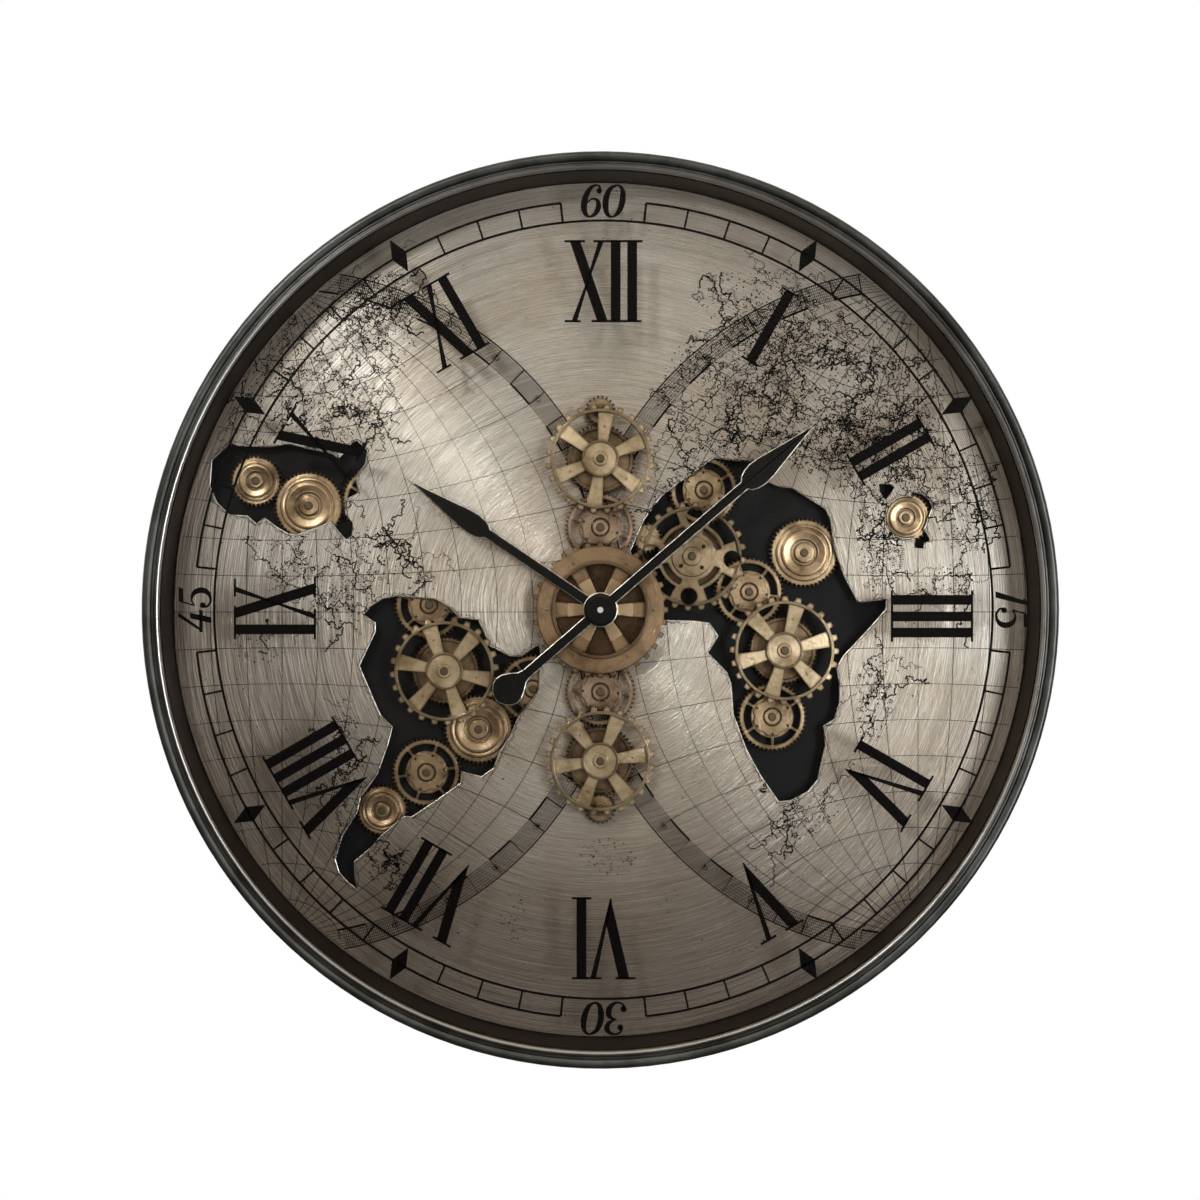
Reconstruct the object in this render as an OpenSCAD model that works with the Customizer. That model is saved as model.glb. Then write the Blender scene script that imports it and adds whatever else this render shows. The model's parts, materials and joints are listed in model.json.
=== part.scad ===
// Round wall clock with a pierced map dial and a train of turning brass gears.
// The face looks along -Y and +Z is up. The origin is the keyhole of the hanger plate.
// Every piece is drawn in the plane of the dial with its depth measured forward from the wall,
// and hung() then stands it upright below the keyhole.

/* [Case] */
// Outer diameter of the clock
case_d = 800; // [780:5:900]
// Thickness of the rolled steel drum
case_wall = 1.6; // [1:0.1:3]
// Distance from the wall to the backing plate
recess_depth = 22; // [21:0.5:30]
// Width of the rear flange that lies on the wall
rear_flange_w = 26; // [16:1:40]
// Rounding of the rear edge
rear_round = 5; // [3:0.5:10]
// Width of the inner ledge that the backing plate is screwed to
ledge_w = 14; // [10:1:18]
// Thickness of the backing plate
plate_t = 2; // [1.5:0.5:4]
// Play between the backing plate and the drum
plate_play = 1; // [0.5:0.1:2]

/* [Bezel and glass] */
// Width of the bezel from its outer edge to its lip
bezel_w = 15.4; // [13:0.2:20]
// Depth of the skirt that covers the front of the drum
skirt_h = 14; // [8:1:24]
// Thickness of the skirt
skirt_t = 1.3; // [0.8:0.1:2]
// Radial play between skirt and drum
skirt_play = 0.3; // [0.2:0.1:0.6]
// Height of the bezel above the glass
bezel_front = 5; // [4:0.5:9]
// Width of the outer roll of the bezel
roll_w = 8.6; // [7:0.2:9.6]
// Width of the groove between roll and bead
groove_w = 1.4; // [0.8:0.2:2]
// How far the groove lies below the top of the roll
groove_d = 3.4; // [2:0.2:3.6]
// How far the inner bead lies below the top of the roll
bead_drop = 1.2; // [0.6:0.2:1.8]
// Thickness of the glass
glass_t = 4; // [3:0.5:5]
// How far the glass reaches behind the bezel
glass_grip = 4; // [3:0.5:5]
// Clear space between the hand cap and the glass
glass_room = 5; // [3:0.5:12]
// Wall of the spacer ring between backing plate and glass
liner_t = 1.4; // [1:0.1:2.5]

/* [Dial] */
// Thickness of the dial
dial_t = 1.2; // [0.8:0.1:2]
// Play between the dial and the spacer ring
dial_play = 0.5; // [0.3:0.1:1]
// Clear depth behind and in front of the dial
dial_gap = 3; // [2.8:0.1:5]
// Size of one unit of the map as a share of the dial's radius
map_share = 0.2348; // [0.2324:0.0002:0.2374]
// Radius of the posts that carry the dial
dial_post_r = 4; // [3:0.25:6]
// Distance of the dial posts from the edge of the dial
dial_post_inset = 13; // [10:1:16]

/* [Gears] */
// Number of fine tooth sizes in the dial's radius, so that the train fits the map
rim_teeth_count = 302.4; // [300.2:0.1:304.8]
// Thickness of a fine gear
fine_t = 4; // [3:0.25:5]
// Height of the hub under a fine gear
hub_under = 3; // [2:0.25:5]
// Gap between the two tiers of gears in front of the dial
tier_gap = 3; // [2:0.25:5]
// Radius of the fixed post that a gear turns on
post_r = 2.5; // [2:0.1:3]
// Radial play of a gear on its post
turn_play = 0.1; // [0.05:0.01:0.1]
// Play along the post between hub, plate and cap
end_play = 0.3; // [0.2:0.05:0.5]
// Radius of a gear's hub
hub_r = 6; // [5:0.25:7]
// Radius of the caps at the ends of the posts
cap_r = 3.6; // [3.4:0.1:4.5]
// Thickness of the caps
cap_t = 1.2; // [0.8:0.1:1.8]

/* [Spoked wheels] */
// Tip radius of a spoked wheel as a share of the pitch radius of the gear behind it
wheel_tip_share = 1.6; // [1.54:0.01:1.62]
// Height of the coarse teeth
wheel_tooth_h = 4.4; // [3:0.2:6]
// Thickness of a spoked wheel at its rim
wheel_t = 5; // [4:0.25:7]
// Thickness of the spokes and of the toothed edge
spoke_t = 2.6; // [1.6:0.1:3]
// Width of the raised rim
rim_w = 2.6; // [2:0.2:5]
// Width of a spoke at the rim
spoke_wide = 15; // [8:0.5:18]
// Width of a spoke at the hub
spoke_narrow = 9; // [6:0.5:12]
// Radius of the hub disc
wheel_hub_r = 16.4; // [14:0.2:19]
// Tip radius of the centre wheel as a share of the pitch radius of the gear behind it
centre_tip_share = 1.4; // [1.35:0.01:1.43]
// Width of the flat band of the centre wheel
band_w = 13.4; // [10:0.2:15]
// Thickness of the centre wheel
centre_t = 7; // [6:0.25:9]

/* [Hands] */
// Length of the minute hand from its axis
minute_len = 252; // [220:1:275]
// Length of the hour hand from its axis
hour_len = 206; // [170:1:220]
// Length of the minute hand's tail
tail_len = 122; // [100:1:135]
// Greatest width of the minute hand's leaf
minute_leaf_w = 23; // [16:0.5:30]
// Greatest width of the hour hand's leaf
hour_leaf_w = 19.4; // [14:0.5:26]
// Width of the shafts of both hands
shaft_w = 9.2; // [6:0.2:12]
// Width of the minute hand's tail weight
tail_w = 29; // [22:0.5:34]
// Thickness of a hand
hand_t = 1.2; // [0.8:0.1:2]
// Gap between the centre wheel and the hour hand
hand_gap = 4.8; // [4:0.1:8]
// Gap between the two hands
hand_step = 2.3; // [1.5:0.1:4]
// Radius of the cap that covers the hands' axis
hub_cap_r = 13.8; // [11:0.2:16]
// Height of that cap
hub_cap_h = 4.3; // [3:0.1:6]
// Angle of the minute hand from twelve at rest
minute_rest_angle = 49.2; // [0:0.6:359.4]
// Full hours shown at rest
hour_count = 10; // [0:1:11]

/* [Movement] */
// Side of the square quartz movement
movement_w = 60; // [58:1:70]
// Depth of the movement
movement_t = 16; // [15.6:0.1:17]
// Radius of the threaded stem
stem_r = 4; // [3.8:0.1:4.5]
// Radius of the hour pipe
hour_pipe_r = 3; // [2.8:0.05:3.2]
// Radius of the minute arbor
minute_arbor_r = 1.6; // [1.4:0.05:1.8]
// Radius of the fixed bush that the centre wheel turns on
bush_r = 7; // [6.5:0.1:7.5]
// Radius of the time setting knob
knob_r = 7; // [5:0.25:8]
// Thickness of the time setting knob
knob_t = 2.8; // [2:0.1:3]

/* [Gear motor] */
// Width of the gear motor's box
motor_w = 84; // [80:1:100]
// Height of the gear motor's box
motor_h = 70; // [68:1:80]
// Depth of the gear motor's box
motor_t = 18; // [17.5:0.1:20]
// Radius of the pinion's shaft
pinion_shaft_r = 2; // [1.5:0.1:2.2]
// Travel of the on and off switch
switch_travel = 4; // [3:0.25:6]

/* [Batteries] */
// Radius of an AA cell
cell_r = 7.25; // [7.05:0.05:7.25]
// Length of an AA cell with its stud
cell_len = 50.2; // [49.2:0.1:50.5]

/* [Hanger] */
// Distance of the keyhole from the clock's upper edge
hang_inset = 100; // [70:1:120]
// Radius of the keyhole's round opening
keyhole_r = 5.5; // [5:0.25:7]
// Width of the keyhole's slot
keyhole_slot_w = 5; // [4:0.25:6]
// Length of the slot above the round opening
keyhole_slot_len = 10; // [8:0.5:14]
// Width of the hanger plate
hanger_w = 60; // [50:1:80]
// Height of the hanger plate
hanger_h = 44; // [42:1:50]
// Thickness of the hanger plate
hanger_t = 2; // [1.5:0.1:3]
// Gap between the wall and the hanger plate
hanger_gap = 2; // [1:0.1:4]

/* [Hidden] */
$fn = 96;
// Overrun of every cut through a surface
over = 0.5;
// Number of short edges in a quarter of a rounded profile
quarter_steps = 5;

// The gear train: name, driving gear, teeth, direction from the driving gear
TRAIN = [
    ["centre", "centre", 68, 0],
    ["upper", "centre", 48, 90],
    ["top", "upper", 48, 90],
    ["top_pinion", "top", 20, 90],
    ["lower", "centre", 48, 270],
    ["bottom", "lower", 48, 270],
    ["bottom_pinion", "bottom", 20, 270],
    ["motor", "upper", 20, -12],
    ["africa_open", "motor", 48, -23],
    ["africa_top", "africa_open", 48, 79.3],
    ["africa_middle", "africa_open", 48, -31.4],
    ["africa_cup", "africa_middle", 48, 35.3],
    ["africa_spoked", "africa_middle", 48, -59.6],
    ["africa_lower", "africa_spoked", 48, 260.6],
    ["asia_idler", "africa_cup", 35, 15],
    ["asia_cup", "asia_idler", 35, 24],
    ["south_right", "lower", 48, 178],
    ["south_cup", "south_right", 48, 216.7],
    ["south_spoked", "south_cup", 48, 119.4],
    ["south_top", "south_spoked", 48, 104],
    ["south_lower", "south_cup", 48, 219.6],
    ["south_small", "south_lower", 35, 220.5],
    ["north_idler", "south_top", 35, 116.9],
    ["north_star", "north_idler", 48, 116.9],
    ["north_large", "north_star", 48, 184.4],
    ["north_small", "north_large", 35, 154.8],
];
function row(name) = TRAIN[search([name], TRAIN)[0]];
function teeth(name) = row(name)[2];
function pitch_r(count) = gear_m * count / 2;
function towards(angle) = [cos(angle), sin(angle)];

// Middle of a gear, one pitch distance from the gear that drives it
function spot(name) = name == "centre"
    ? [0, 0]
    : let (r = row(name))
        spot(r[1]) + (pitch_r(teeth(r[1])) + pitch_r(r[2])) * towards(r[3]);

// Angle of a gear's first tooth, with its teeth in the gaps of the gear that drives it
function turned(name) = name == "centre"
    ? 0
    : let (r = row(name))
        r[3] + 180 + 180 / r[2] - (turned(r[1]) - r[3]) * teeth(r[1]) / r[2];

// Corners of one fine tooth: height in tooth sizes and place as shares of the pitch
fine_tooth_shares = [[-1.15, -0.3], [0.85, -0.13], [0.85, 0.13], [-1.15, 0.3]];
// Corners of one coarse tooth: shares of its height and of the pitch
coarse_tooth_shares = [[0, -0.27], [0.3, -0.23], [1, -0.18], [1, 0.18], [0.3, 0.23], [0, 0.27]];

// Depths from the wall
plate_z = recess_depth;
plate_front_z = plate_z + plate_t;
fine_z = plate_front_z + hub_under;
fine_front_z = fine_z + fine_t;
dial_z = fine_front_z + dial_gap;
dial_front_z = dial_z + dial_t;
front_z = dial_front_z + dial_gap;
tier_z = front_z + fine_t + tier_gap;
hour_z = tier_z + centre_t + hand_gap;
minute_z = hour_z + hand_t + hand_step;
hub_cap_z = minute_z + hand_t;
glass_z = hub_cap_z + hub_cap_h + glass_room;
glass_front_z = glass_z + glass_t;
case_depth = glass_front_z + bezel_front;

// Radii of the case
case_r = case_d / 2;
lip_r = case_r - bezel_w;
drum_r = case_r - skirt_t - skirt_play;
drum_inner_r = drum_r - case_wall;
plate_r = drum_inner_r - plate_play;
liner_r = lip_r + liner_t;
glass_r = lip_r + glass_grip;
glass_edge_play = 0.4;
bead_round_share = 0.7;
dial_r = lip_r - dial_play;
map_unit = dial_r * map_share;
// Tooth size of the fine gears: pitch diameter divided by the number of teeth
gear_m = dial_r / rim_teeth_count;
hang_drop = case_r - hang_inset;
// Step between the rear of the bezel and the front of the glass
drum_step = 1;
drum_front_z = glass_front_z - drum_step;
ledge_t = 1.5;
rear_post_count = 8;

// Screws: shank, head and the play round the shank
screw_r = 1.9;
screw_head_r = 3.6;
screw_head_h = 2.2;
screw_play = 0.15;
screw_grip = 6;
ledge_screw_r = drum_inner_r - ledge_w / 2;
dial_screw_r = dial_r - dial_post_inset;

// Hubs behind the dial end one step above the gear and are held by caps
hub_step = 1.2;
low_hub_z = fine_front_z + hub_step;
bore_r = post_r + turn_play;
sleeve_play = 1.6;

// Forms of the star gears, as shares of the root radius
star_gap_shares = [0.66, 0.885];
star_plate_shares = [0.6, 0.2, 0.74];
star_spoke_w = 2.4;
star_plate_t = 1.2;
star_ring_r = 7.4;
star_ring_tooth_count = 18;
star_ring_t = 0.5;
star_hole_r = 0.9;
// Profile of a cup gear: shares of its root radius and of the height of its hub
cup_shares = [
    [0.89, 0.77], [0.86, 0.98], [0.8, 1.01], [0.76, 0.88], [0.73, 0.88], [0.7, 1.14], [0.64, 1.17],
    [0.46, 1], [0.42, 1], [0.4, 0.62], [0.31, 0.62], [0.3, 0.96], [0.27, 1],
];

// Forms of the spoked wheels
spoke_count = 6;
wheel_tooth_count = 24;
centre_tooth_count = 32;
hub_edge_w = 1.8;
hub_dish_d = 1.2;
boss_r = 6.4;
wheel_tip_r = wheel_tip_share * pitch_r(teeth("top"));
centre_tip_r = centre_tip_share * pitch_r(teeth("centre"));
rivet_r = 1.1;
rivet_h = 0.5;
centre_hub_r = 15.6;
band_step = 1.4;

// Forms of the open wheel, as shares of its root radius
kidney_shares = [0.69, 0.93];
kidney_half_angle = 21;
round_hole_shares = [0.81, 0.17];
slot_shares = [0.5, 0.62];
slot_half_angle = 26;
open_hub_shares = [0.41, 0.19];

// Outline of a hand's leaf: shares of its length and of its half width
leaf_shares = [
    [0, 0.38], [0.04, 0.7], [0.1, 0.9], [0.19, 1], [0.3, 0.93], [0.5, 0.66], [0.75, 0.31], [1, 0.02],
];
// Outline of the tail weight: shares of its length and of its half width
tail_shares = [
    [0, 0.3], [0.16, 0.42], [0.32, 0.72], [0.5, 0.96], [0.64, 1], [0.78, 0.9], [0.9, 0.62],
    [0.97, 0.32], [1, 0],
];
minute_leaf_share = 0.335;
hour_leaf_share = 0.42;
tail_weight_share = 0.3;
hand_eye_r = 15.4;
arbor_play = 0.1;
shoulder_w = 0.9;
cap_dot_r = 2.6;
cap_dot_h = 0.6;
minute_angle = -minute_rest_angle;
hour_angle = -30 * hour_count - minute_rest_angle / 12;

// Land outlines on the dial in map units, from the middle of the dial
africa_shares = [
    [0.3, 0.58], [0.44, 0.9], [0.61, 1.13], [0.75, 1.24], [1.13, 1.51], [1.36, 1.48], [1.53, 1.48],
    [1.67, 1.27], [1.79, 1.22], [1.91, 1.21], [2.24, 1], [2.29, 0.9], [2.33, 0.62], [2.42, 0.34],
    [2.56, 0.08], [2.62, 0.07], [2.85, 0.1], [2.84, 0], [2.71, -0.15], [2.42, -0.46], [2.35, -0.58],
    [2.38, -0.74], [2.38, -0.93], [2.33, -1.09], [2.22, -1.16], [2.24, -1.35], [2.16, -1.7],
    [2.07, -1.81], [1.9, -1.9], [1.78, -1.91], [1.6, -1.65], [1.46, -1.39], [1.33, -1.04],
    [1.31, -0.74], [1.27, -0.63], [1.08, -0.43], [1.18, -0.26], [1.09, -0.13], [0.95, -0.11], [0.62, -0.1],
];
south_shares = [
    [-2.36, -0.05], [-2.28, 0.04], [-2.16, 0.11], [-2.03, 0.13], [-1.65, 0.1], [-1.5, 0.01],
    [-1.41, -0.08], [-1.22, -0.11], [-1.14, -0.28], [-1.11, -0.36], [-0.9, -0.47], [-0.79, -0.47],
    [-0.62, -0.36], [-0.6, -0.42], [-0.62, -0.8], [-0.7, -0.91], [-0.84, -1.1], [-0.9, -1.26],
    [-1.01, -1.42], [-1.07, -1.58], [-1.19, -1.66], [-1.39, -1.61], [-1.4, -1.73], [-1.64, -1.9],
    [-1.88, -2.06], [-1.96, -2.06], [-2.19, -2.25], [-2.28, -2.36], [-2.46, -2.51], [-2.45, -2.69],
    [-2.43, -2.78], [-2.52, -2.71], [-2.6, -2.62], [-2.64, -2.49], [-2.57, -2.26], [-2.42, -2.02],
    [-2.39, -1.88], [-2.22, -1.64], [-2.11, -1.33], [-2.07, -1.17], [-2.19, -1.05], [-2.31, -0.77],
    [-2.4, -0.56], [-2.24, -0.22], [-2.24, -0.13],
];
north_shares = [
    [-3.87, 1.49], [-3.71, 1.64], [-3.63, 1.63], [-3.3, 1.62], [-3.11, 1.65], [-2.95, 1.61],
    [-2.67, 1.55], [-2.61, 1.5], [-2.48, 1.66], [-2.43, 1.68], [-2.33, 1.59], [-2.35, 1.45],
    [-2.42, 1.37], [-2.44, 1.26], [-2.41, 1.17], [-2.54, 1.1], [-2.55, 0.96], [-2.47, 0.86],
    [-2.48, 0.75], [-2.53, 0.7], [-2.59, 0.76], [-2.68, 0.88], [-2.81, 0.83], [-3.03, 0.75],
    [-3.11, 0.76], [-3.23, 0.83], [-3.35, 0.92], [-3.43, 0.86], [-3.52, 0.94], [-3.7, 0.95],
    [-3.82, 1.07], [-3.89, 1.23], [-3.88, 1.34],
];
asia_west_shares = [[2.78, 1.25], [2.89, 1.25], [2.93, 1.22], [2.91, 1.18], [2.84, 1.1], [2.79, 1.18]];
asia_east_shares = [[3.1, 1.17], [3.21, 1.15], [3.28, 1.09], [3.31, 1.02], [3.27, 0.92], [3.22, 0.88]];
asia_south_shares = [
    [3.15, 0.86], [3.22, 0.8], [3.28, 0.71], [3.28, 0.68], [3.23, 0.67], [3.22, 0.61], [3.14, 0.62],
    [3.14, 0.71], [3.08, 0.78],
];
asia_hole_share = 0.205;

// Movement, motor and battery bays
bay_play = 0.6;
bay_edge = 3;
knob_offset = 13;
knob_stem_r = 1.5;
knob_stem_len = 6;
knob_flute_count = 16;
flute_r = 0.6;
pipe_end_play = 0.5;
nut_r = 8;
nut_t = 3;
bush_clear = 0.3;
bush_step = 2;
collar_r = 9.6;
motor_shift = [18, 13];
motor_bore_d = 8;
switch_w = 5;
switch_h = 4;
switch_d = 3;
switch_rise = 1.2;
switch_play = 0.3;
switch_inset = 14;
box_round = 4;
cell_stud_r = 2.75;
cell_stud_len = 1.2;
hanger_flange_w = 12;

hanger_mid_z = hanger_gap + hanger_t / 2;

// Stands a piece drawn in the dial's plane upright, below the keyhole
module hung() {
    translate([0, hanger_mid_z, -hang_drop])
        rotate([90, 0, 0])
            children();
}

module at_gear(name, z) {
    translate([spot(name)[0], spot(name)[1], z])
        rotate(turned(name))
            children();
}

// Points of a quarter turn round a middle, as wide and as high as size says
function quarter(middle, size, from) = [
    for (i = [0 : quarter_steps])
        let (way = towards(from + 90 * i / quarter_steps))
            middle + [size[0] * way[0], size[1] * way[1]],
];

module ring(outer, inner) {
    difference() {
        circle(outer);
        circle(inner);
    }
}

module fine_outline(count) {
    polygon([
        for (i = [0 : count - 1])
            for (corner = fine_tooth_shares)
                (pitch_r(count) + gear_m * corner[0]) * towards(360 * (i + corner[1]) / count)
    ]);
}

module coarse_outline(count, tip_r, tooth_h) {
    polygon([
        for (i = [0 : count - 1])
            for (corner = coarse_tooth_shares)
                (tip_r - tooth_h + tooth_h * corner[0]) * towards(360 * (i + corner[1]) / count)
    ]);
}

function root_r(count) = pitch_r(count) + gear_m * fine_tooth_shares[0][0];

// Part of a ring between two radii, on both sides of the X axis
module ring_sector(outer, inner, half_angle) {
    intersection() {
        ring(outer, inner);
        polygon([
            [0, 0],
            2 * outer * towards(-half_angle),
            3 * outer * towards(0),
            2 * outer * towards(half_angle),
        ]);
    }
}

// Plain fine gear on its hub
module plain_gear(name, z, hub_from, hub_to) {
    at_gear(name, 0)
        difference() {
            union() {
                translate([0, 0, z])
                    linear_extrude(fine_t)
                        fine_outline(teeth(name));
                translate([0, 0, hub_from])
                    cylinder(r = hub_r, h = hub_to - hub_from);
            }
            translate([0, 0, hub_from - over])
                cylinder(r = bore_r, h = hub_to - hub_from + 2 * over);
        }
}

// Fine gear that lies behind a spoked wheel: a thin dished web inside its rim
module backed_gear(name, z, hub_from, hub_to) {
    inner = root_r(teeth(name)) - rim_w;
    at_gear(name, 0)
        difference() {
            union() {
                translate([0, 0, z])
                    linear_extrude(fine_t)
                        fine_outline(teeth(name));
                translate([0, 0, hub_from])
                    cylinder(r = hub_r, h = hub_to - hub_from);
            }
            translate([0, 0, z + spoke_t])
                linear_extrude(fine_t)
                    ring(inner, hub_r);
            translate([0, 0, hub_from - over])
                cylinder(r = bore_r, h = hub_to - hub_from + 2 * over);
        }
}

// Fine gear with six bean shaped gaps and a star shaped hub plate
module star_gear(name, z, hub_from, hub_to) {
    root = root_r(teeth(name));
    at_gear(name, 0)
        difference() {
            union() {
                translate([0, 0, z])
                    linear_extrude(fine_t)
                        difference() {
                            fine_outline(teeth(name));
                            difference() {
                                ring(root * star_gap_shares[1], root * star_gap_shares[0]);
                                for (i = [0 : spoke_count / 2 - 1])
                                    rotate(360 * i / spoke_count)
                                        square([2 * root, star_spoke_w], center = true);
                            }
                        }
                translate([0, 0, z + fine_t])
                    linear_extrude(star_plate_t)
                        star_plate(root);
                translate([0, 0, hub_from])
                    cylinder(r = hub_r, h = hub_to - hub_from);
            }
            translate([0, 0, hub_from - over])
                cylinder(r = bore_r, h = hub_to - hub_from + 2 * over);
        }
}

// Hub plate with six scalloped sides, a hole in each point and a ring of small teeth cut round the middle
module star_plate(root) {
    difference() {
        circle(root * star_plate_shares[0]);
        for (i = [0 : spoke_count - 1])
            rotate(360 * (i + 0.5) / spoke_count)
                translate([root * star_plate_shares[2], 0])
                    circle(root * star_plate_shares[1]);
        for (i = [0 : spoke_count - 1])
            rotate(360 * i / spoke_count)
                translate([root * star_plate_shares[0] - 2 * star_hole_r, 0])
                    circle(star_hole_r);
        difference() {
            circle(star_ring_r + 2 * star_ring_t);
            coarse_outline(star_ring_tooth_count, star_ring_r + star_ring_t, 2 * star_ring_t);
        }
    }
}

// Gear whose face is a stepped round dish
module cup_gear(name, z, hub_from) {
    count = teeth(name);
    root = root_r(count);
    at_gear(name, 0)
        difference() {
            union() {
                translate([0, 0, z])
                    difference() {
                        linear_extrude(fine_t)
                            fine_outline(count);
                        translate([0, 0, fine_t - spoke_t / 2])
                            cylinder(r = root * cup_shares[0][0], h = fine_t);
                    }
                translate([0, 0, z])
                    rotate_extrude()
                        polygon(concat(
                            [[0, 0], [root * cup_shares[0][0], 0]],
                            [for (p = cup_shares) [root * p[0], (fine_t + hub_step) * p[1]]],
                            [[0, fine_t + hub_step]]
                        ));
                translate([0, 0, hub_from])
                    cylinder(r = hub_r, h = z + fine_t / 2 - hub_from);
            }
            translate([0, 0, hub_from - over])
                cylinder(r = bore_r, h = case_depth);
        }
}

// Coarse wheel with a raised rim, flat tapered spokes and a dished hub
module spoked_wheel(name, z) {
    root = wheel_tip_r - wheel_tooth_h;
    inner = root - rim_w;
    at_gear(name, z)
        difference() {
            union() {
                linear_extrude(spoke_t)
                    difference() {
                        coarse_outline(wheel_tooth_count, wheel_tip_r, wheel_tooth_h);
                        circle(inner);
                    }
                linear_extrude(wheel_t)
                    ring(root, inner);
                linear_extrude(spoke_t)
                    spokes(wheel_hub_r, inner + rim_w / 2);
                wheel_hub(wheel_hub_r, wheel_t);
                rivets(spoke_count / 2, (wheel_hub_r + inner) / 2, spoke_t);
            }
            translate([0, 0, -over])
                cylinder(r = bore_r, h = wheel_t + 2 * over);
        }
}

module spokes(inner, outer) {
    for (i = [0 : spoke_count - 1])
        rotate(360 * i / spoke_count)
            polygon([
                [inner - hub_edge_w, -spoke_narrow / 2],
                [outer, -spoke_wide / 2],
                [outer, spoke_wide / 2],
                [inner - hub_edge_w, spoke_narrow / 2],
            ]);
}

module wheel_hub(r, h) {
    rotate_extrude()
        polygon([
            [0, 0], [r, 0], [r, h], [r - hub_edge_w, h], [r - hub_edge_w, h - hub_dish_d],
            [boss_r, h - hub_dish_d], [boss_r, h], [0, h],
        ]);
}

module rivets(count, r, z) {
    for (i = [0 : count - 1])
        rotate(360 * i / count)
            translate([r, 0, z - over])
                cylinder(r = rivet_r, h = rivet_h + over);
}

// Posts that end behind the dial, in front of the dial's cut-outs and in the front tier
low_posts = [
    "africa_top", "africa_middle", "africa_cup", "africa_lower", "asia_idler", "asia_cup",
    "south_right", "south_cup", "south_top", "south_lower", "south_small",
    "north_idler", "north_star", "north_large", "north_small",
];
middle_posts = ["africa_open", "africa_spoked", "south_spoked"];
tier_posts = ["top", "bottom"];
column_posts = ["upper", "lower", "top_pinion", "bottom_pinion"];
low_cap_z = low_hub_z + end_play;
middle_cap_z = front_z + wheel_t + end_play;
column_cap_z = front_z + fine_t + hub_step + end_play;
tier_cap_z = tier_z + wheel_t + end_play;
posts = [
    for (name = low_posts) [name, low_cap_z],
    for (name = middle_posts) [name, middle_cap_z],
    for (name = column_posts) [name, column_cap_z],
    for (name = tier_posts) [name, tier_cap_z],
];
bush_top_z = tier_z + centre_t + end_play + cap_t;

// Case pieces

module case_drum() {
    color("#3a3a38")
        hung()
            difference() {
                rotate_extrude()
                    polygon(concat(
                        [[drum_r - rear_flange_w, 0]],
                        quarter([drum_r - rear_round, rear_round], [rear_round, rear_round], 270),
                        [
                            [drum_r, drum_front_z], [drum_inner_r, drum_front_z],
                            [drum_inner_r, plate_z], [drum_inner_r - ledge_w, plate_z],
                            [drum_inner_r - ledge_w, plate_z - ledge_t],
                            [drum_inner_r, plate_z - ledge_t],
                            [drum_inner_r, rear_round],
                            [drum_r - rear_round, case_wall],
                            [drum_r - rear_flange_w, case_wall],
                        ]
                    ));
                ledge_screw_holes(plate_z - ledge_t, ledge_t);
            }
}

module ledge_screw_holes(z, h) {
    for (i = [0 : rear_post_count - 1])
        rotate(360 * (i + 0.5) / rear_post_count)
            translate([ledge_screw_r, 0, z - over])
                cylinder(r = screw_r + screw_play, h = h + 2 * over);
}

module bezel_ring() {
    roll_r = roll_w / 2;
    bead_r = (bezel_w - roll_w - groove_w) / 2;
    bead_h = (bezel_front - bead_drop) * bead_round_share;
    groove_z = case_depth - groove_d;
    color("#4a4844")
        hung()
            rotate_extrude()
                polygon(concat(
                    [[case_r, drum_front_z - skirt_h]],
                    quarter([case_r - roll_r, case_depth - roll_r], [roll_r, roll_r], 0),
                    quarter([case_r - roll_r, groove_z], [roll_r, groove_d], 90),
                    quarter([lip_r + bead_r, groove_z], [bead_r, groove_d - bead_drop], 0),
                    quarter([lip_r + bead_r, case_depth - bead_drop - bead_h], [bead_r, bead_h], 90),
                    [
                        [lip_r, glass_front_z],
                        [glass_r + glass_edge_play, glass_front_z],
                        [glass_r + glass_edge_play, drum_front_z],
                        [case_r - skirt_t, drum_front_z],
                        [case_r - skirt_t, drum_front_z - skirt_h],
                    ]
                ));
}

module glass_pane() {
    color("#dfe6e6", 0.2)
        hung()
            translate([0, 0, glass_z])
                cylinder(r = glass_r, h = glass_t);
}

module spacer_ring() {
    color("#5c554b")
        hung()
            translate([0, 0, plate_front_z])
                linear_extrude(glass_z - plate_front_z)
                    ring(liner_r, lip_r);
}

module dial_plate() {
    color("#b8ab98")
        hung()
            translate([0, 0, dial_z])
                linear_extrude(dial_t)
                    difference() {
                        circle(dial_r);
                        for (land = [africa_shares, south_shares, north_shares,
                            asia_west_shares, asia_east_shares, asia_south_shares])
                            polygon(map_unit * land);
                        translate(spot("asia_cup"))
                            circle(map_unit * asia_hole_share);
                        circle(collar_r);
                        for (name = concat(column_posts, tier_posts))
                            translate(spot(name))
                                circle(hub_r + sleeve_play);
                    }
}

module backing_plate() {
    color("#141312")
        hung()
            translate([0, 0, plate_z])
                difference() {
                    cylinder(r = plate_r, h = plate_t);
                    translate([0, 0, -over])
                        cylinder(r = stem_r + bush_clear, h = plate_t + 2 * over);
                    translate([spot("motor")[0], spot("motor")[1], -over])
                        cylinder(r = pinion_shaft_r + bush_clear, h = plate_t + 2 * over);
                    ledge_screw_holes(0, plate_t);
                    dial_screw_holes(0, plate_t);
                }
}

module dial_screw_holes(z, h) {
    for (i = [0 : rear_post_count - 1])
        rotate(360 * i / rear_post_count)
            translate([dial_screw_r, 0, z - over])
                cylinder(r = screw_r + screw_play, h = h + 2 * over);
}

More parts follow.
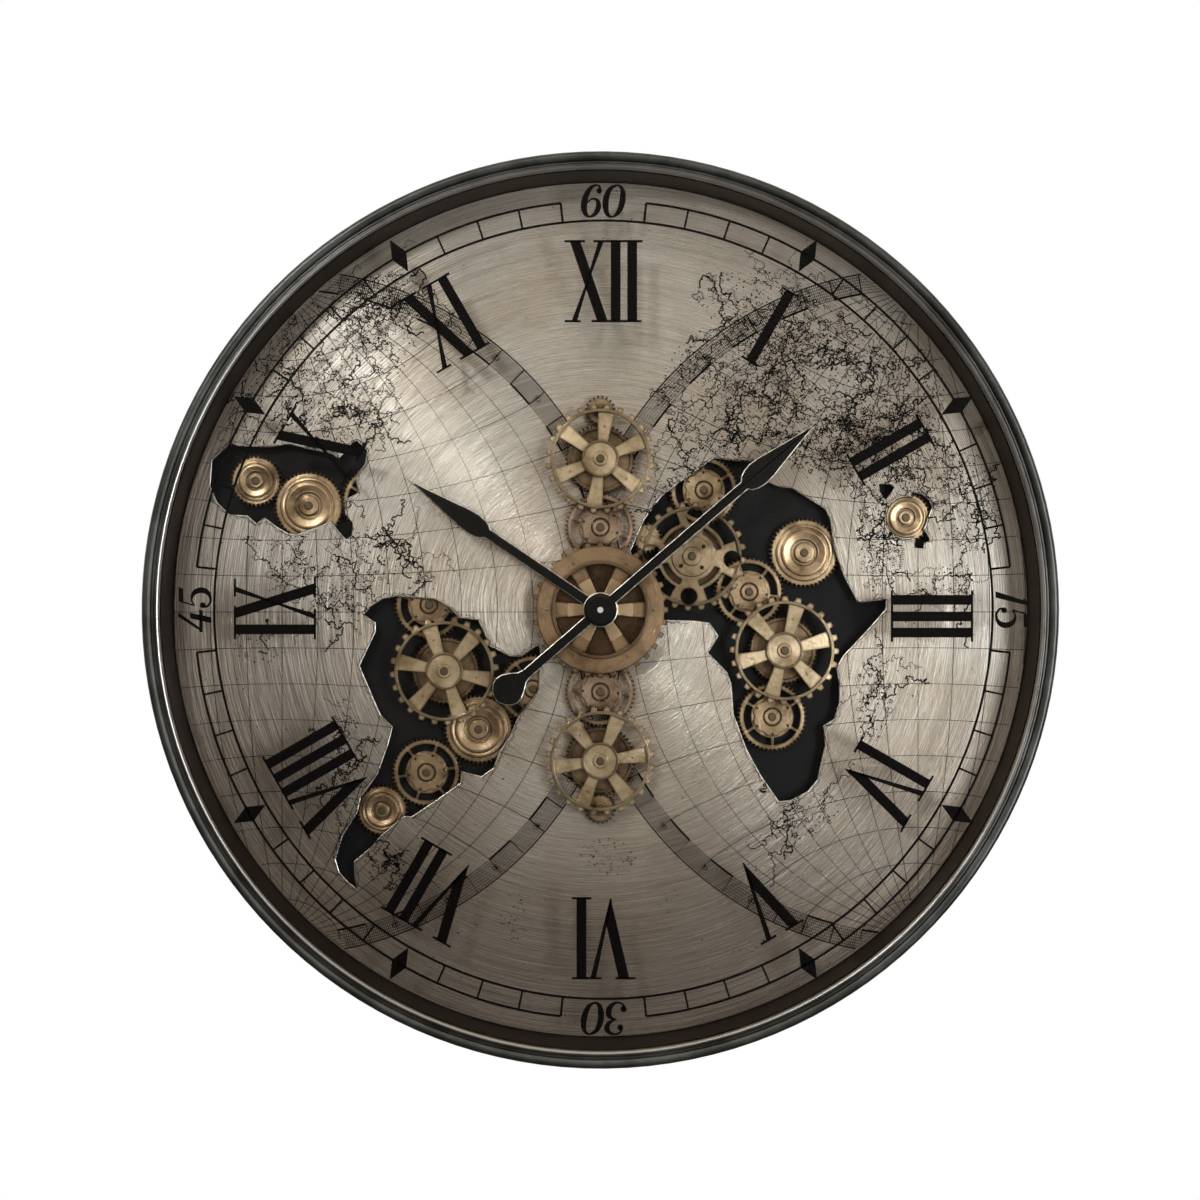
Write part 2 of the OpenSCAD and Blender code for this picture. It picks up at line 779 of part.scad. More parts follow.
module dial_posts() {
    color("#1d1c1a")
        hung()
            for (i = [0 : rear_post_count - 1])
                rotate(360 * i / rear_post_count)
                    translate([dial_screw_r, 0, plate_front_z])
                        difference() {
                            cylinder(r = dial_post_r, h = dial_z - plate_front_z);
                            translate([0, 0, -over])
                                cylinder(r = screw_r + screw_play, h = screw_grip + over);
                        }
}

// One screw with its head behind the surface at z and its shank reaching forward
module rear_screw(z, shank) {
    translate([0, 0, z - screw_head_h])
        rotate_extrude()
            polygon([
                [0, 0], [screw_head_r - screw_head_h / 2, 0], [screw_head_r, screw_head_h / 2],
                [screw_head_r, screw_head_h], [screw_r, screw_head_h],
                [screw_r, screw_head_h + shank], [0, screw_head_h + shank],
            ]);
}

module dial_screws() {
    color("#8d8a84")
        hung()
            for (i = [0 : rear_post_count - 1])
                rotate(360 * i / rear_post_count)
                    translate([dial_screw_r, 0, 0])
                        rear_screw(plate_z, plate_t + screw_grip - over);
}

module plate_screws() {
    color("#8d8a84")
        hung()
            for (i = [0 : rear_post_count - 1])
                rotate(360 * (i + 0.5) / rear_post_count)
                    translate([ledge_screw_r, 0, 0])
                        rear_screw(plate_z - ledge_t, ledge_t + plate_t + over);
}

module hanger_plate() {
    depth = plate_z - hanger_gap;
    color("#77746e")
        hung()
            translate([0, hang_drop, hanger_gap])
                difference() {
                    union() {
                        translate([-hanger_w / 2, -hanger_h / 2, 0])
                            cube([hanger_w, hanger_h, hanger_t]);
                        for (side = [-1, 1]) {
                            translate([side * (hanger_w - hanger_t) / 2, 0, depth / 2])
                                cube([hanger_t, hanger_h, depth], center = true);
                            translate([side * (hanger_w + hanger_flange_w) / 2 - side * hanger_t, 0,
                                depth - hanger_t / 2])
                                cube([hanger_flange_w, hanger_h, hanger_t], center = true);
                        }
                    }
                    translate([0, 0, -over])
                        cylinder(r = keyhole_r, h = hanger_t + 2 * over);
                    translate([-keyhole_slot_w / 2, 0, -over])
                        cube([keyhole_slot_w, keyhole_slot_len, hanger_t + 2 * over]);
                    translate([0, keyhole_slot_len, -over])
                        cylinder(r = keyhole_slot_w / 2, h = hanger_t + 2 * over);
                }
}

// Movement

module rounded_box(w, h, depth) {
    linear_extrude(depth) {
        square([w - 2 * box_round, h], center = true);
        square([w, h - 2 * box_round], center = true);
        for (x = [-1, 1])
            for (y = [-1, 1])
                translate([x * (w / 2 - box_round), y * (h / 2 - box_round)])
                    circle(box_round);
    }
}

// Cut for one lying cell, open towards the wall
module cell_bay(z) {
    translate([-cell_len / 2 - bay_play, -cell_r - bay_play, z - over])
        cube([cell_len + 2 * bay_play, 2 * (cell_r + bay_play), 2 * cell_r + bay_play + over]);
}

movement_z = plate_z - movement_t;
movement_bay_y = bay_edge + cell_r + bay_play - movement_w / 2;
stem_top_z = hour_z - shoulder_w - pipe_end_play;
stem_floor_z = plate_z - movement_t / 2;

module movement_case() {
    color("#26282a")
        hung()
            difference() {
                union() {
                    translate([0, 0, movement_z])
                        rounded_box(movement_w, movement_w, movement_t);
                    translate([0, 0, plate_z - over])
                        cylinder(r = stem_r, h = stem_top_z - plate_z + over);
                }
                translate([0, movement_bay_y, movement_z])
                    cell_bay(0);
                translate([0, 0, stem_floor_z])
                    cylinder(r = hour_pipe_r + arbor_play, h = case_depth);
                translate([0, knob_offset, movement_z - over])
                    cylinder(r = knob_stem_r + arbor_play, h = knob_stem_len + pipe_end_play + over);
            }
}

module lying_cell() {
    rotate([0, 90, 0])
        translate([0, 0, -cell_len / 2]) {
            cylinder(r = cell_r, h = cell_len - cell_stud_len);
            cylinder(r = cell_stud_r, h = cell_len);
        }
}

module movement_battery() {
    color("#8a8f94")
        hung()
            translate([0, movement_bay_y, movement_z + cell_r])
                lying_cell();
}

module movement_nut() {
    color("#b08d57")
        hung()
            translate([0, 0, plate_front_z])
                difference() {
                    cylinder(r = nut_r, h = nut_t, $fn = 6);
                    translate([0, 0, -over])
                        cylinder(r = stem_r + arbor_play, h = nut_t + 2 * over);
                }
}

module centre_bush() {
    color("#9a7f4f")
        hung()
            translate([0, 0, plate_front_z + nut_t])
                difference() {
                    union() {
                        cylinder(r = bush_r, h = bush_top_z - plate_front_z - nut_t);
                        cylinder(r = bush_r + bush_step, h = dial_front_z - plate_front_z - nut_t);
                    }
                    translate([0, 0, -over])
                        cylinder(r = stem_r + arbor_play, h = case_depth);
                }
}

module set_knob() {
    color("#1b1b1b")
        hung()
            translate([0, knob_offset, movement_z - end_play - knob_t]) {
                linear_extrude(knob_t)
                    difference() {
                        circle(knob_r);
                        for (i = [0 : knob_flute_count - 1])
                            rotate(360 * i / knob_flute_count)
                                translate([knob_r, 0])
                                    circle(flute_r, $fn = 24);
                    }
                cylinder(r = knob_stem_r, h = knob_t + end_play + knob_stem_len);
            }
}

module hour_pipe() {
    color("#b08d57")
        hung()
            difference() {
                union() {
                    translate([0, 0, stem_floor_z + pipe_end_play])
                        cylinder(r = hour_pipe_r, h = hour_z + hand_t - stem_floor_z - pipe_end_play / 2);
                    translate([0, 0, hour_z - shoulder_w])
                        cylinder(r = hour_pipe_r + shoulder_w, h = shoulder_w);
                }
                translate([0, 0, plate_z - movement_t])
                    cylinder(r = minute_arbor_r + arbor_play, h = case_depth);
            }
}

// Outline of a leaf on a shaft, along +Y from the axis
module leaf_hand(len, leaf_len, leaf_w) {
    start = len - leaf_len;
    right = [for (p = leaf_shares) [leaf_w / 2 * p[1], start + leaf_len * p[0]]];
    polygon(concat(
        right,
        [for (i = [len(right) - 1 : -1 : 0]) [-right[i][0], right[i][1]]]
    ));
    translate([-shaft_w / 2, 0])
        square([shaft_w, start + leaf_len * leaf_shares[2][0]]);
}

module tail(len) {
    weight = len * tail_weight_share;
    right = [for (p = tail_shares) [tail_w / 2 * p[1], weight - len - weight * p[0]]];
    polygon(concat(
        right,
        [for (i = [len(right) - 2 : -1 : 0]) [-right[i][0], right[i][1]]]
    ));
    translate([-shaft_w / 2, weight * tail_shares[1][0] * -1 + weight - len])
        square([shaft_w, len - weight + weight * tail_shares[1][0]]);
}

module hour_hand() {
    color("#0d0d0d")
        hung()
            rotate(hour_angle)
                translate([0, 0, hour_z])
                    linear_extrude(hand_t)
                        difference() {
                            union() {
                                leaf_hand(hour_len, hour_len * hour_leaf_share, hour_leaf_w);
                                circle(hub_cap_r);
                            }
                            circle(hour_pipe_r + arbor_play / 2);
                        }
}

module minute_hand() {
    color("#0d0d0d")
        hung()
            rotate(minute_angle)
                translate([0, 0, minute_z])
                    linear_extrude(hand_t)
                        difference() {
                            union() {
                                leaf_hand(minute_len, minute_len * minute_leaf_share, minute_leaf_w);
                                tail(tail_len);
                                circle(hand_eye_r);
                            }
                            circle(minute_arbor_r + arbor_play / 2);
                        }
}

module minute_arbor() {
    start_z = stem_floor_z + 2 * pipe_end_play;
    color("#b08d57")
        hung() {
            translate([0, 0, start_z])
                cylinder(r = minute_arbor_r, h = hub_cap_z + hub_cap_h / 2 - start_z);
            translate([0, 0, minute_z - shoulder_w])
                cylinder(r = minute_arbor_r + shoulder_w, h = shoulder_w);
        }
}

module hand_cap() {
    color("#101010")
        hung()
            translate([0, 0, hub_cap_z])
                difference() {
                    rotate_extrude()
                        polygon(concat(
                            [[0, 0], [hub_cap_r, 0]],
                            quarter([hub_cap_r - hub_cap_h / 2, hub_cap_h / 2 - cap_dot_h],
                                [hub_cap_h / 2, hub_cap_h / 2], 0),
                            [
                                [cap_dot_r, hub_cap_h - cap_dot_h], [cap_dot_r, hub_cap_h], [0, hub_cap_h],
                            ]
                        ));
                    translate([0, 0, -over])
                        cylinder(r = minute_arbor_r + arbor_play / 2, h = hub_cap_h / 2 + arbor_play + over);
                }
}

// Gear motor

motor_z = plate_z - motor_t;
motor_at = spot("motor") + motor_shift;
motor_cell_y = motor_h / 2 - bay_edge - cell_r - bay_play;

module motor_case() {
    color("#26282a")
        hung()
            difference() {
                translate([motor_at[0], motor_at[1], motor_z])
                    difference() {
                        rounded_box(motor_w, motor_h, motor_t);
                        for (i = [0 : 1])
                            translate([0, motor_cell_y - 2 * i * (cell_r + bay_play), 0])
                                cell_bay(0);
                        translate([motor_w / 2 - switch_inset, switch_inset - motor_h / 2, switch_d / 2])
                            cube([switch_w + switch_travel + 2 * switch_play, switch_h + 2 * switch_play,
                                switch_d + 2 * over], center = true);
                    }
                translate([spot("motor")[0], spot("motor")[1], plate_z - motor_bore_d])
                    cylinder(r = pinion_shaft_r + turn_play, h = motor_bore_d + over);
            }
}

module motor_batteries() {
    color("#8a8f94")
        hung()
            translate([motor_at[0], motor_at[1] + motor_cell_y, motor_z + cell_r])
                for (i = [0 : 1])
                    translate([0, -2 * i * (cell_r + bay_play), 0])
                        mirror([i, 0, 0])
                            lying_cell();
}

module motor_switch() {
    color("#c9c6bf")
        hung()
            translate([motor_at[0] + motor_w / 2 - switch_inset - switch_travel / 2,
                motor_at[1] + switch_inset - motor_h / 2, motor_z + switch_d / 2 - switch_rise / 2])
                cube([switch_w, switch_h, switch_d + switch_rise - 2 * switch_play], center = true);
}

module motor_pinion() {
    shaft_z = plate_z - motor_bore_d + pipe_end_play;
    color("#a98a50")
        hung() {
            at_gear("motor", fine_z)
                linear_extrude(fine_t)
                    fine_outline(teeth("motor"));
            translate([spot("motor")[0], spot("motor")[1], shaft_z])
                cylinder(r = pinion_shaft_r, h = low_hub_z - shaft_z);
        }
}

// Gears

module gear_axles() {
    color("#8f7747")
        hung()
            for (post = posts)
                translate([spot(post[0])[0], spot(post[0])[1], plate_front_z])
                    cylinder(r = post_r, h = post[1] - plate_front_z);
}

// Domed caps on the posts and the collar on the centre bush
module axle_caps() {
    color("#a98a50")
        hung() {
            for (post = posts)
                translate([spot(post[0])[0], spot(post[0])[1], post[1]])
                    rotate_extrude()
                        polygon([
                            [0, 0], [cap_r, 0], [cap_r, cap_t / 2], [cap_r - cap_t / 2, cap_t],
                            [0, cap_t],
                        ]);
            translate([0, 0, bush_top_z - cap_t])
                linear_extrude(cap_t)
                    ring(collar_r, bush_r);
        }
}

hub_start_z = plate_front_z + end_play;

module star_link(name) {
    color("#b1924f")
        hung()
            plain_gear(name, fine_z, hub_start_z, front_z);
}

module column_star(name) {
    color("#b1924f")
        hung()
            star_gear(name, front_z, front_z, front_z + fine_t + hub_step);
}

module column_wheel_gear(name) {
    color("#9c8248")
        hung()
            backed_gear(name, front_z, hub_start_z, tier_z);
}

module column_pinion(name) {
    color("#b1924f")
        hung()
            plain_gear(name, front_z, hub_start_z, front_z + fine_t + hub_step);
}

module column_wheel(name) {
    color("#c2a365")
        hung()
            spoked_wheel(name, tier_z);
}

module land_star(name) {
    color("#b1924f")
        hung()
            star_gear(name, fine_z, hub_start_z, low_hub_z);
}

module land_cup(name) {
    color("#b99a5c")
        hung()
            cup_gear(name, fine_z, hub_start_z);
}

module land_idler(name) {
    color("#9c8248")
        hung()
            plain_gear(name, fine_z, hub_start_z, low_hub_z);
}

module land_wheel_gear(name) {
    color("#9c8248")
        hung()
            backed_gear(name, fine_z, hub_start_z, front_z);
}

module land_wheel(name) {
    color("#c2a365")
        hung()
            spoked_wheel(name, front_z);
}

module centre_gear() {
    color("#9c8248")
        hung()
            difference() {
                union() {
                    translate([0, 0, front_z])
                        linear_extrude(fine_t)
                            fine_outline(teeth("centre"));
                    translate([0, 0, dial_front_z + end_play])
                        cylinder(r = centre_hub_r, h = tier_z - dial_front_z - end_play);
                }
                translate([0, 0, dial_z])
                    cylinder(r = bush_r + turn_play, h = case_depth);
            }
}

module centre_wheel() {
    root = centre_tip_r - wheel_tooth_h * spoke_t / wheel_t - band_step;
    band_in = root - rim_w - band_w;
    color("#b08d57")
        hung()
            translate([0, 0, tier_z])
                difference() {
                    union() {
                        linear_extrude(spoke_t)
                            difference() {
                                coarse_outline(centre_tooth_count, centre_tip_r, centre_tip_r - root);
                                circle(band_in);
                            }
                        linear_extrude(wheel_t)
                            ring(root, band_in);
                        linear_extrude(wheel_t - band_step)
                            ring(root - rim_w, band_in);
                        linear_extrude(centre_t)
                            ring(band_in + rim_w, band_in);
                        linear_extrude(spoke_t)
                            spokes(centre_hub_r, band_in + rim_w / 2);
                        wheel_hub(centre_hub_r, centre_t);
                        rivets(spoke_count, root - rim_w - band_w / 2, wheel_t);
                    }
                    translate([0, 0, -over])
                        cylinder(r = bush_r + turn_play, h = centre_t + 2 * over);
                }
}

// Wheel with four kidney openings, four round holes, slots and a pierced hub disc
module africa_open_wheel() {
    root = wheel_tip_r - wheel_tooth_h;
    color("#b1924f")
        hung()
            at_gear("africa_open", front_z)
                difference() {
                    union() {
                        linear_extrude(spoke_t)
                            coarse_outline(wheel_tooth_count, wheel_tip_r, wheel_tooth_h);
                        linear_extrude(wheel_t)
                            ring(root, root - rim_w);
                        cylinder(r = root * open_hub_shares[0], h = wheel_t - hub_dish_d);
                        cylinder(r = root * open_hub_shares[1], h = wheel_t);
                    }
                    translate([0, 0, -over])
                        linear_extrude(wheel_t + 2 * over) {
                            circle(bore_r);
                            for (i = [0 : 3]) {
                                rotate(90 * i) {
                                    ring_sector(root * kidney_shares[1], root * kidney_shares[0],
                                        kidney_half_angle);
                                    ring_sector(root * slot_shares[1], root * slot_shares[0],
                                        slot_half_angle);
                                    translate([root * (open_hub_shares[0] + open_hub_shares[1]) / 2, 0])
                                        circle(boss_r / 4);
                                }
                                rotate(90 * i + 45)
                                    translate([root * round_hole_shares[0], 0])
                                        circle(root * round_hole_shares[1]);
                            }
                        }
                }
}

case_drum();
bezel_ring();
glass_pane();
spacer_ring();
dial_plate();
backing_plate();
dial_posts();
dial_screws();
plate_screws();
hanger_plate();
movement_case();
movement_battery();
movement_nut();
centre_bush();
set_knob();
hour_pipe();
hour_hand();
minute_hand();
minute_arbor();
hand_cap();
motor_case();
motor_batteries();
motor_switch();
motor_pinion();
gear_axles();
axle_caps();
centre_gear();
centre_wheel();
star_link("upper");  // upper_link
column_star("upper");  // upper_star
column_wheel_gear("top");  // top_gear
column_wheel("top");  // top_wheel
column_pinion("top_pinion");  // top_pinion
star_link("lower");  // lower_link
column_star("lower");  // lower_star
column_wheel_gear("bottom");  // bottom_gear
column_wheel("bottom");  // bottom_wheel
column_pinion("bottom_pinion");  // bottom_pinion
land_wheel_gear("africa_open");  // africa_open_gear
africa_open_wheel();
land_star("africa_top");  // africa_top_star
land_star("africa_middle");  // africa_middle_star
land_cup("africa_cup");  // africa_cup
land_wheel_gear("africa_spoked");  // africa_spoked_gear
land_wheel("africa_spoked");  // africa_spoked_wheel
land_star("africa_lower");  // africa_lower_star
land_idler("asia_idler");  // asia_idler
land_cup("asia_cup");  // asia_cup
land_star("south_right");  // south_right_star
land_cup("south_cup");  // south_cup
land_wheel_gear("south_spoked");  // south_spoked_gear
land_wheel("south_spoked");  // south_spoked_wheel
land_star("south_top");  // south_top_star
land_star("south_lower");  // south_lower_star
land_cup("south_small");  // south_small_cup
land_idler("north_idler");  // north_idler
land_star("north_star");  // north_star
land_cup("north_large");  // north_large_cup
land_cup("north_small");  // north_small_cup
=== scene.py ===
import json
import math
import random

import bmesh
import bpy
from mathutils import Matrix, Vector
from mathutils.bvhtree import BVHTree


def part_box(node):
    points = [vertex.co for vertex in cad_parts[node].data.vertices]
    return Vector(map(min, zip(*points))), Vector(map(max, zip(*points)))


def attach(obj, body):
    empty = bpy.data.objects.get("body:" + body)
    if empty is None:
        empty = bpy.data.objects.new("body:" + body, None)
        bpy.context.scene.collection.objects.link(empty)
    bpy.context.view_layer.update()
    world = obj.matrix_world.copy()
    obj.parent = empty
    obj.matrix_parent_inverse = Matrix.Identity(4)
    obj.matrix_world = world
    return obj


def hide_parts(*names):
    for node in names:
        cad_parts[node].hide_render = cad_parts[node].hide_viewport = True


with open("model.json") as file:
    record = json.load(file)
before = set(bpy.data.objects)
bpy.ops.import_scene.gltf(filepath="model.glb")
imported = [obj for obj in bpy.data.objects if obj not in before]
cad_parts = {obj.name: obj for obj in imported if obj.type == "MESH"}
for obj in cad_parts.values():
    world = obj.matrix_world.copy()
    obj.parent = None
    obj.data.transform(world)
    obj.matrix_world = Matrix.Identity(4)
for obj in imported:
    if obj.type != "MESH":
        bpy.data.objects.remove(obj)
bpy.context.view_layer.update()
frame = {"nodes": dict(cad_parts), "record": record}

# the dial's own measures: millimetres from its middle, and depth forward from the wall
dial = {
    "drop": 0.3,          # the keyhole, where the frame begins, is this far above the middle
    "wall": 0.003,        # the wall's place along Y
    "face": 35.2,         # depth of the dial's front
    "glass": 71.0,        # depth of the glass's inner face
    "film": 0.04,         # thickness of any print
}
stand = Matrix((
    (0.001, 0, 0, 0),
    (0, 0, -0.001, dial["wall"]),
    (0, 0.001, 0, -dial["drop"]),
    (0, 0, 0, 1),
))
nodes = frame["nodes"]


def onFace(x, y, depth):
    return stand @ Vector((x, y, depth))


# a node socket that works in Python expressions, so that shader sums read as sums
class Wire:
    def __init__(self, tree, socket):
        self.tree = tree
        self.socket = socket

    def add(self, kind, settings=None, inputs=None, out=0):
        node = self.tree.nodes.new(kind)
        for name, value in (settings or {}).items():
            if name == "stops":
                ramp = node.color_ramp
                while len(ramp.elements) > 1:
                    ramp.elements.remove(ramp.elements[-1])
                for i, (place, colour) in enumerate(value):
                    stop = ramp.elements[0] if i == 0 else ramp.elements.new(place)
                    stop.position = place
                    stop.color = (*colour, 1)
            else:
                setattr(node, name, value)
        for name, value in (inputs or {}).items():
            if isinstance(value, Wire):
                self.tree.links.new(value.socket, node.inputs[name])
            else:
                node.inputs[name].default_value = value
        return Wire(self.tree, node.outputs[out] if node.outputs else None)

    def other(self, name):
        return Wire(self.tree, self.socket.node.outputs[name])

    def math(self, operation, *values):
        return self.add("ShaderNodeMath", {"operation": operation}, dict(enumerate((self, *values))))

    def vector(self, operation, *values, out=0):
        inputs = dict(enumerate((self, *values)))
        return self.add("ShaderNodeVectorMath", {"operation": operation}, inputs, out)

    def scaled(self, factor):
        return self.add("ShaderNodeVectorMath", {"operation": "SCALE"}, {0: self, "Scale": factor})

    def __add__(self, value): return self.math("ADD", value)
    def __radd__(self, value): return self.math("ADD", value)
    def __sub__(self, value): return self.math("SUBTRACT", value)
    def __mul__(self, value): return self.math("MULTIPLY", value)
    def __rmul__(self, value): return self.math("MULTIPLY", value)
    def __truediv__(self, value): return self.math("DIVIDE", value)

    def __rsub__(self, value):
        return self.add("ShaderNodeMath", {"operation": "SUBTRACT"}, {0: value, 1: self})

    def between(self, low, high, start=0.0, end=1.0):
        return self.add("ShaderNodeMapRange", {"interpolation_type": "SMOOTHSTEP"},
                        {"Value": self, "From Min": low, "From Max": high, "To Min": start, "To Max": end})

    def blend(self, first, second, mode="MIX"):
        node = self.tree.nodes.new("ShaderNodeMix")
        node.data_type, node.blend_type, node.clamp_factor = "RGBA", mode, True
        for slot, value in ((0, self), (6, first), (7, second)):
            if isinstance(value, Wire):
                self.tree.links.new(value.socket, node.inputs[slot])
            else:
                node.inputs[slot].default_value = (*value, 1)
        return Wire(self.tree, node.outputs[2])


def startMaterial(name):
    material = bpy.data.materials.new(name)
    material.use_nodes = True
    tree = material.node_tree
    tree.nodes.clear()
    place = Wire(tree, None).add("ShaderNodeTexCoord").other("Object")
    return material, place


def finishMaterial(place, fixed, linked):
    shader = place.add("ShaderNodeBsdfPrincipled", None, {**fixed, **linked})
    place.add("ShaderNodeOutputMaterial", None, {"Surface": shader})


def noise(place, scale, detail=3.0, rough=0.55):
    return place.add("ShaderNodeTexNoise", None,
                     {"Vector": place, "Scale": scale, "Detail": detail, "Roughness": rough})


def polar(place, x=0.0, z=-dial["drop"]):
    # distance from an axis along Y, the unit vector away from it, and the place counted from it
    moved = place.add("ShaderNodeMapping", {"vector_type": "POINT"},
                      {"Vector": place, "Location": (-x, 0, -z)})
    flat = moved.vector("MULTIPLY", (1, 0, 1))
    return flat.vector("LENGTH", out=1), flat.vector("NORMALIZE"), moved


def bump(height, strength, distance, base=None):
    inputs = {"Height": height, "Strength": strength, "Distance": distance}
    if base:
        inputs["Normal"] = base
    return height.add("ShaderNodeBump", None, inputs)


def vectorOf(place, x=0.0, y=0.0, z=0.0):
    return place.add("ShaderNodeCombineXYZ", None, {"X": x, "Y": y, "Z": z})


def brushedRound(place, radius, away, tight, long):
    # noise stretched round the axis: tight lines per metre across, long cells round the circle
    parts = away.add("ShaderNodeSeparateXYZ", None, {"Vector": away})
    return noise(vectorOf(place, radius * tight, parts * long, parts.other("Z") * long), 1.0, 3.0, 0.6)


def leaning(place, radius, away, slopes, soft=0.0):
    # a turned surface: the normal tips in and out along the radius, in lines round the axis
    slope = None
    for tight, long, amount in slopes:
        part = (brushedRound(place, radius, away, tight, long) - 0.5) * amount
        slope = part if slope is None else slope + part
    face = (place.add("ShaderNodeBevel", {"samples": 4}, {"Radius": soft}) if soft
            else place.add("ShaderNodeNewGeometry").other("Normal"))
    return face.vector("ADD", away.scaled(slope)).vector("NORMALIZE")


def dialMetal():
    look = {
        "warm": (0.56, 0.475, 0.39), "cool": (0.66, 0.6, 0.53), "metal": 0.5, "rough": 0.27,
        # lines per metre, cells round the circle, lean
        "slopes": ((12000, 4.5, 4.6), (1100, 1.6, 0.2), (240, 1.2, 0.03)),
        # edge and foot: colour and strength of the painted shade towards the rim and the foot
        "edge": (0.13, 0.1, 0.08), "rimShadeStart": 0.325, "rimShadeEnd": 0.392, "rimShadeTop": 0.0, "rimShadeFoot": 0.92,
        "foot": 0.78, "footShadeStart": 0.08, "footShadeEnd": 0.33,
        "grime": (0.07, 0.055, 0.045), "grimeShare": 0.35,
    }
    material, place = startMaterial("dialMetal")
    radius, away, moved = polar(place)
    normal = leaning(place, radius, away, look["slopes"])
    fine = brushedRound(place, radius, away, 1900, 5)
    mid = brushedRound(place, radius, away, 520, 3)
    cloud = noise(moved, 9, 4, 0.6)
    base = cloud.between(0.35, 0.65).blend(look["warm"], look["cool"])
    streak = (fine * 0.6 + mid * 0.4).between(0.32, 0.68, 0.9, 1.06)
    base = base.scaled(streak)
    # painted shade: the colour darkens towards the rim, most at the foot and the left, where the bezel and
    # the dark room shade the dial; towards the foot it darkens further in too
    parts = away.add("ShaderNodeSeparateXYZ", None, {"Vector": away})
    low = (parts * -0.8 - parts.other("Z") * 0.6).between(-0.5, 0.9, look["rimShadeTop"], look["rimShadeFoot"])
    rim = (radius + (cloud - 0.5) * 0.03).between(look["rimShadeStart"], look["rimShadeEnd"]) * low
    foot = (parts * -0.35 - parts.other("Z") * 0.92).between(-0.3, 0.85, 0.0, look["foot"])
    rim = rim.math("MAXIMUM", radius.between(look["footShadeStart"], look["footShadeEnd"]) * foot)
    base = rim.blend(base, look["edge"])
    grime = noise(moved, 170, 6, 0.75).between(0.58, 0.74) * look["grimeShare"]
    finishMaterial(place, {"Metallic": look["metal"]},
                   {"Base Color": grime.blend(base, look["grime"]), "Normal": normal,
                    "Roughness": look["rough"] + (fine - 0.5) * 0.1})
    return material


def gunmetal(name, colour, light, tight, rough, lip=None):
    material, place = startMaterial(name)
    radius, away, moved = polar(place)
    line = brushedRound(place, radius, away, tight, 14)
    stain = noise(moved, 22, 5, 0.62)
    base = stain.between(0.36, 0.68).blend(colour, light)
    base = line.between(0.35, 0.7, 0.0, 0.5).blend(base, light)
    gloss = rough + (stain - 0.5) * 0.25
    if lip:
        # the inner bead is rubbed bright along its crest
        start, end, blur, tone = lip
        crest = radius.between(start - blur, start) * radius.between(end, end + blur, 0.9, 0.0)
        base, gloss = crest.blend(base, tone), gloss - crest * 0.12
    finishMaterial(place, {"Metallic": 1.0},
                   {"Base Color": base, "Roughness": gloss,
                    "Normal": bump(line * 0.7 + noise(moved, 900, 2) * 0.3, 0.6, 0.00006)})
    return material


def brass(name, dark, bright, centre=None, inner=None, rough=0.32):
    # grime is the dark of the grime and painted shade in corners and behind other parts
    look = {"grime": (0.03, 0.02, 0.012), "grimeAndShade": 0.007, "verge": 0.0026, "vergeShade": 0.25,
            "slopes": ((9000, 9, 1.2), (1500, 3, 0.048)), "turnedEdge": 0.0008, "plainEdge": 0.0006}
    material, place = startMaterial(name)
    wear = noise(place, 45, 4, 0.6)
    tarnish = noise(place, 700, 5, 0.7)
    base = (wear * 0.85 + tarnish * 0.15).between(0.3, 0.6).blend(dark, bright)
    # painted shade with grime: ambient occlusion darkens corners, recesses and parts lying behind others; the
    # colour also darkens towards every edge
    grimeAndShade = place.add("ShaderNodeAmbientOcclusion", {"samples": 8}, {"Distance": look["grimeAndShade"]})
    base = grimeAndShade.other("AO").between(0.25, 0.88).blend(look["grime"], base)
    verge = place.add("ShaderNodeAmbientOcclusion", {"samples": 8, "inside": True},
                      {"Distance": look["verge"]})
    base = verge.other("AO").between(0.33, 0.92).blend(tuple(c * look["vergeShade"] for c in dark), base)
    if centre:
        radius, away, _ = polar(place, centre[0], centre[2])
        turned = brushedRound(place, radius, away, 1900, 3)
        base = turned.between(0.3, 0.7, 0.0, 0.22).blend(base, dark)
        if inner:
            # the spokes inside the band are a brighter brass
            base = radius.between(inner[0] - 0.0004, inner[0], 0.85, 0.0).blend(base, inner[1])
        face = leaning(place, radius, away, look["slopes"], look["turnedEdge"])
    else:
        face = place.add("ShaderNodeBevel", {"samples": 4}, {"Radius": look["plainEdge"]})
    finishMaterial(place, {"Metallic": 1.0},
                   {"Base Color": base, "Roughness": rough + (tarnish - 0.5) * 0.2,
                    "Normal": bump(tarnish, 0.08, 0.00003, face)})
    return material


def enamel(name, colour, light, rough, coat, shine=0.5):
    material, place = startMaterial(name)
    orange = noise(place, 1400, 3, 0.5)
    worn = noise(place, 70, 5, 0.7)
    base = worn.between(0.45, 0.75).blend(colour, light)
    finishMaterial(place, {"Coat Weight": coat, "Coat Roughness": 0.2, "Specular IOR Level": shine},
                   {"Base Color": base, "Roughness": rough + (worn - 0.5) * 0.2,
                    "Normal": bump(orange, 0.25, 0.00004)})
    return material


def blackPlate():
    look = {"front": (0.004, 0.004, 0.005), "worn": (0.009, 0.008, 0.008),
            "rear": (0.02, 0.02, 0.021), "scuffed": (0.05, 0.049, 0.047)}
    material, place = startMaterial("blackPlate")
    grain = noise(place, 1100, 4, 0.7)
    cloud = noise(place, 9, 5, 0.65)
    facing = place.add("ShaderNodeNewGeometry").other("True Normal")
    rear = place.add("ShaderNodeSeparateXYZ", None, {"Vector": facing}).other("Y").between(0.3, 0.7)
    front = cloud.between(0.45, 0.75).blend(look["front"], look["worn"])
    back = (cloud * 0.7 + grain * 0.3).between(0.42, 0.68).blend(look["rear"], look["scuffed"])
    finishMaterial(place, {"Specular IOR Level": 0.2},
                   {"Base Color": rear.blend(front, back), "Normal": bump(grain, 0.3, 0.00006),
                    "Roughness": 0.6 - rear * 0.16 + (grain - 0.5) * 0.2})
    return material


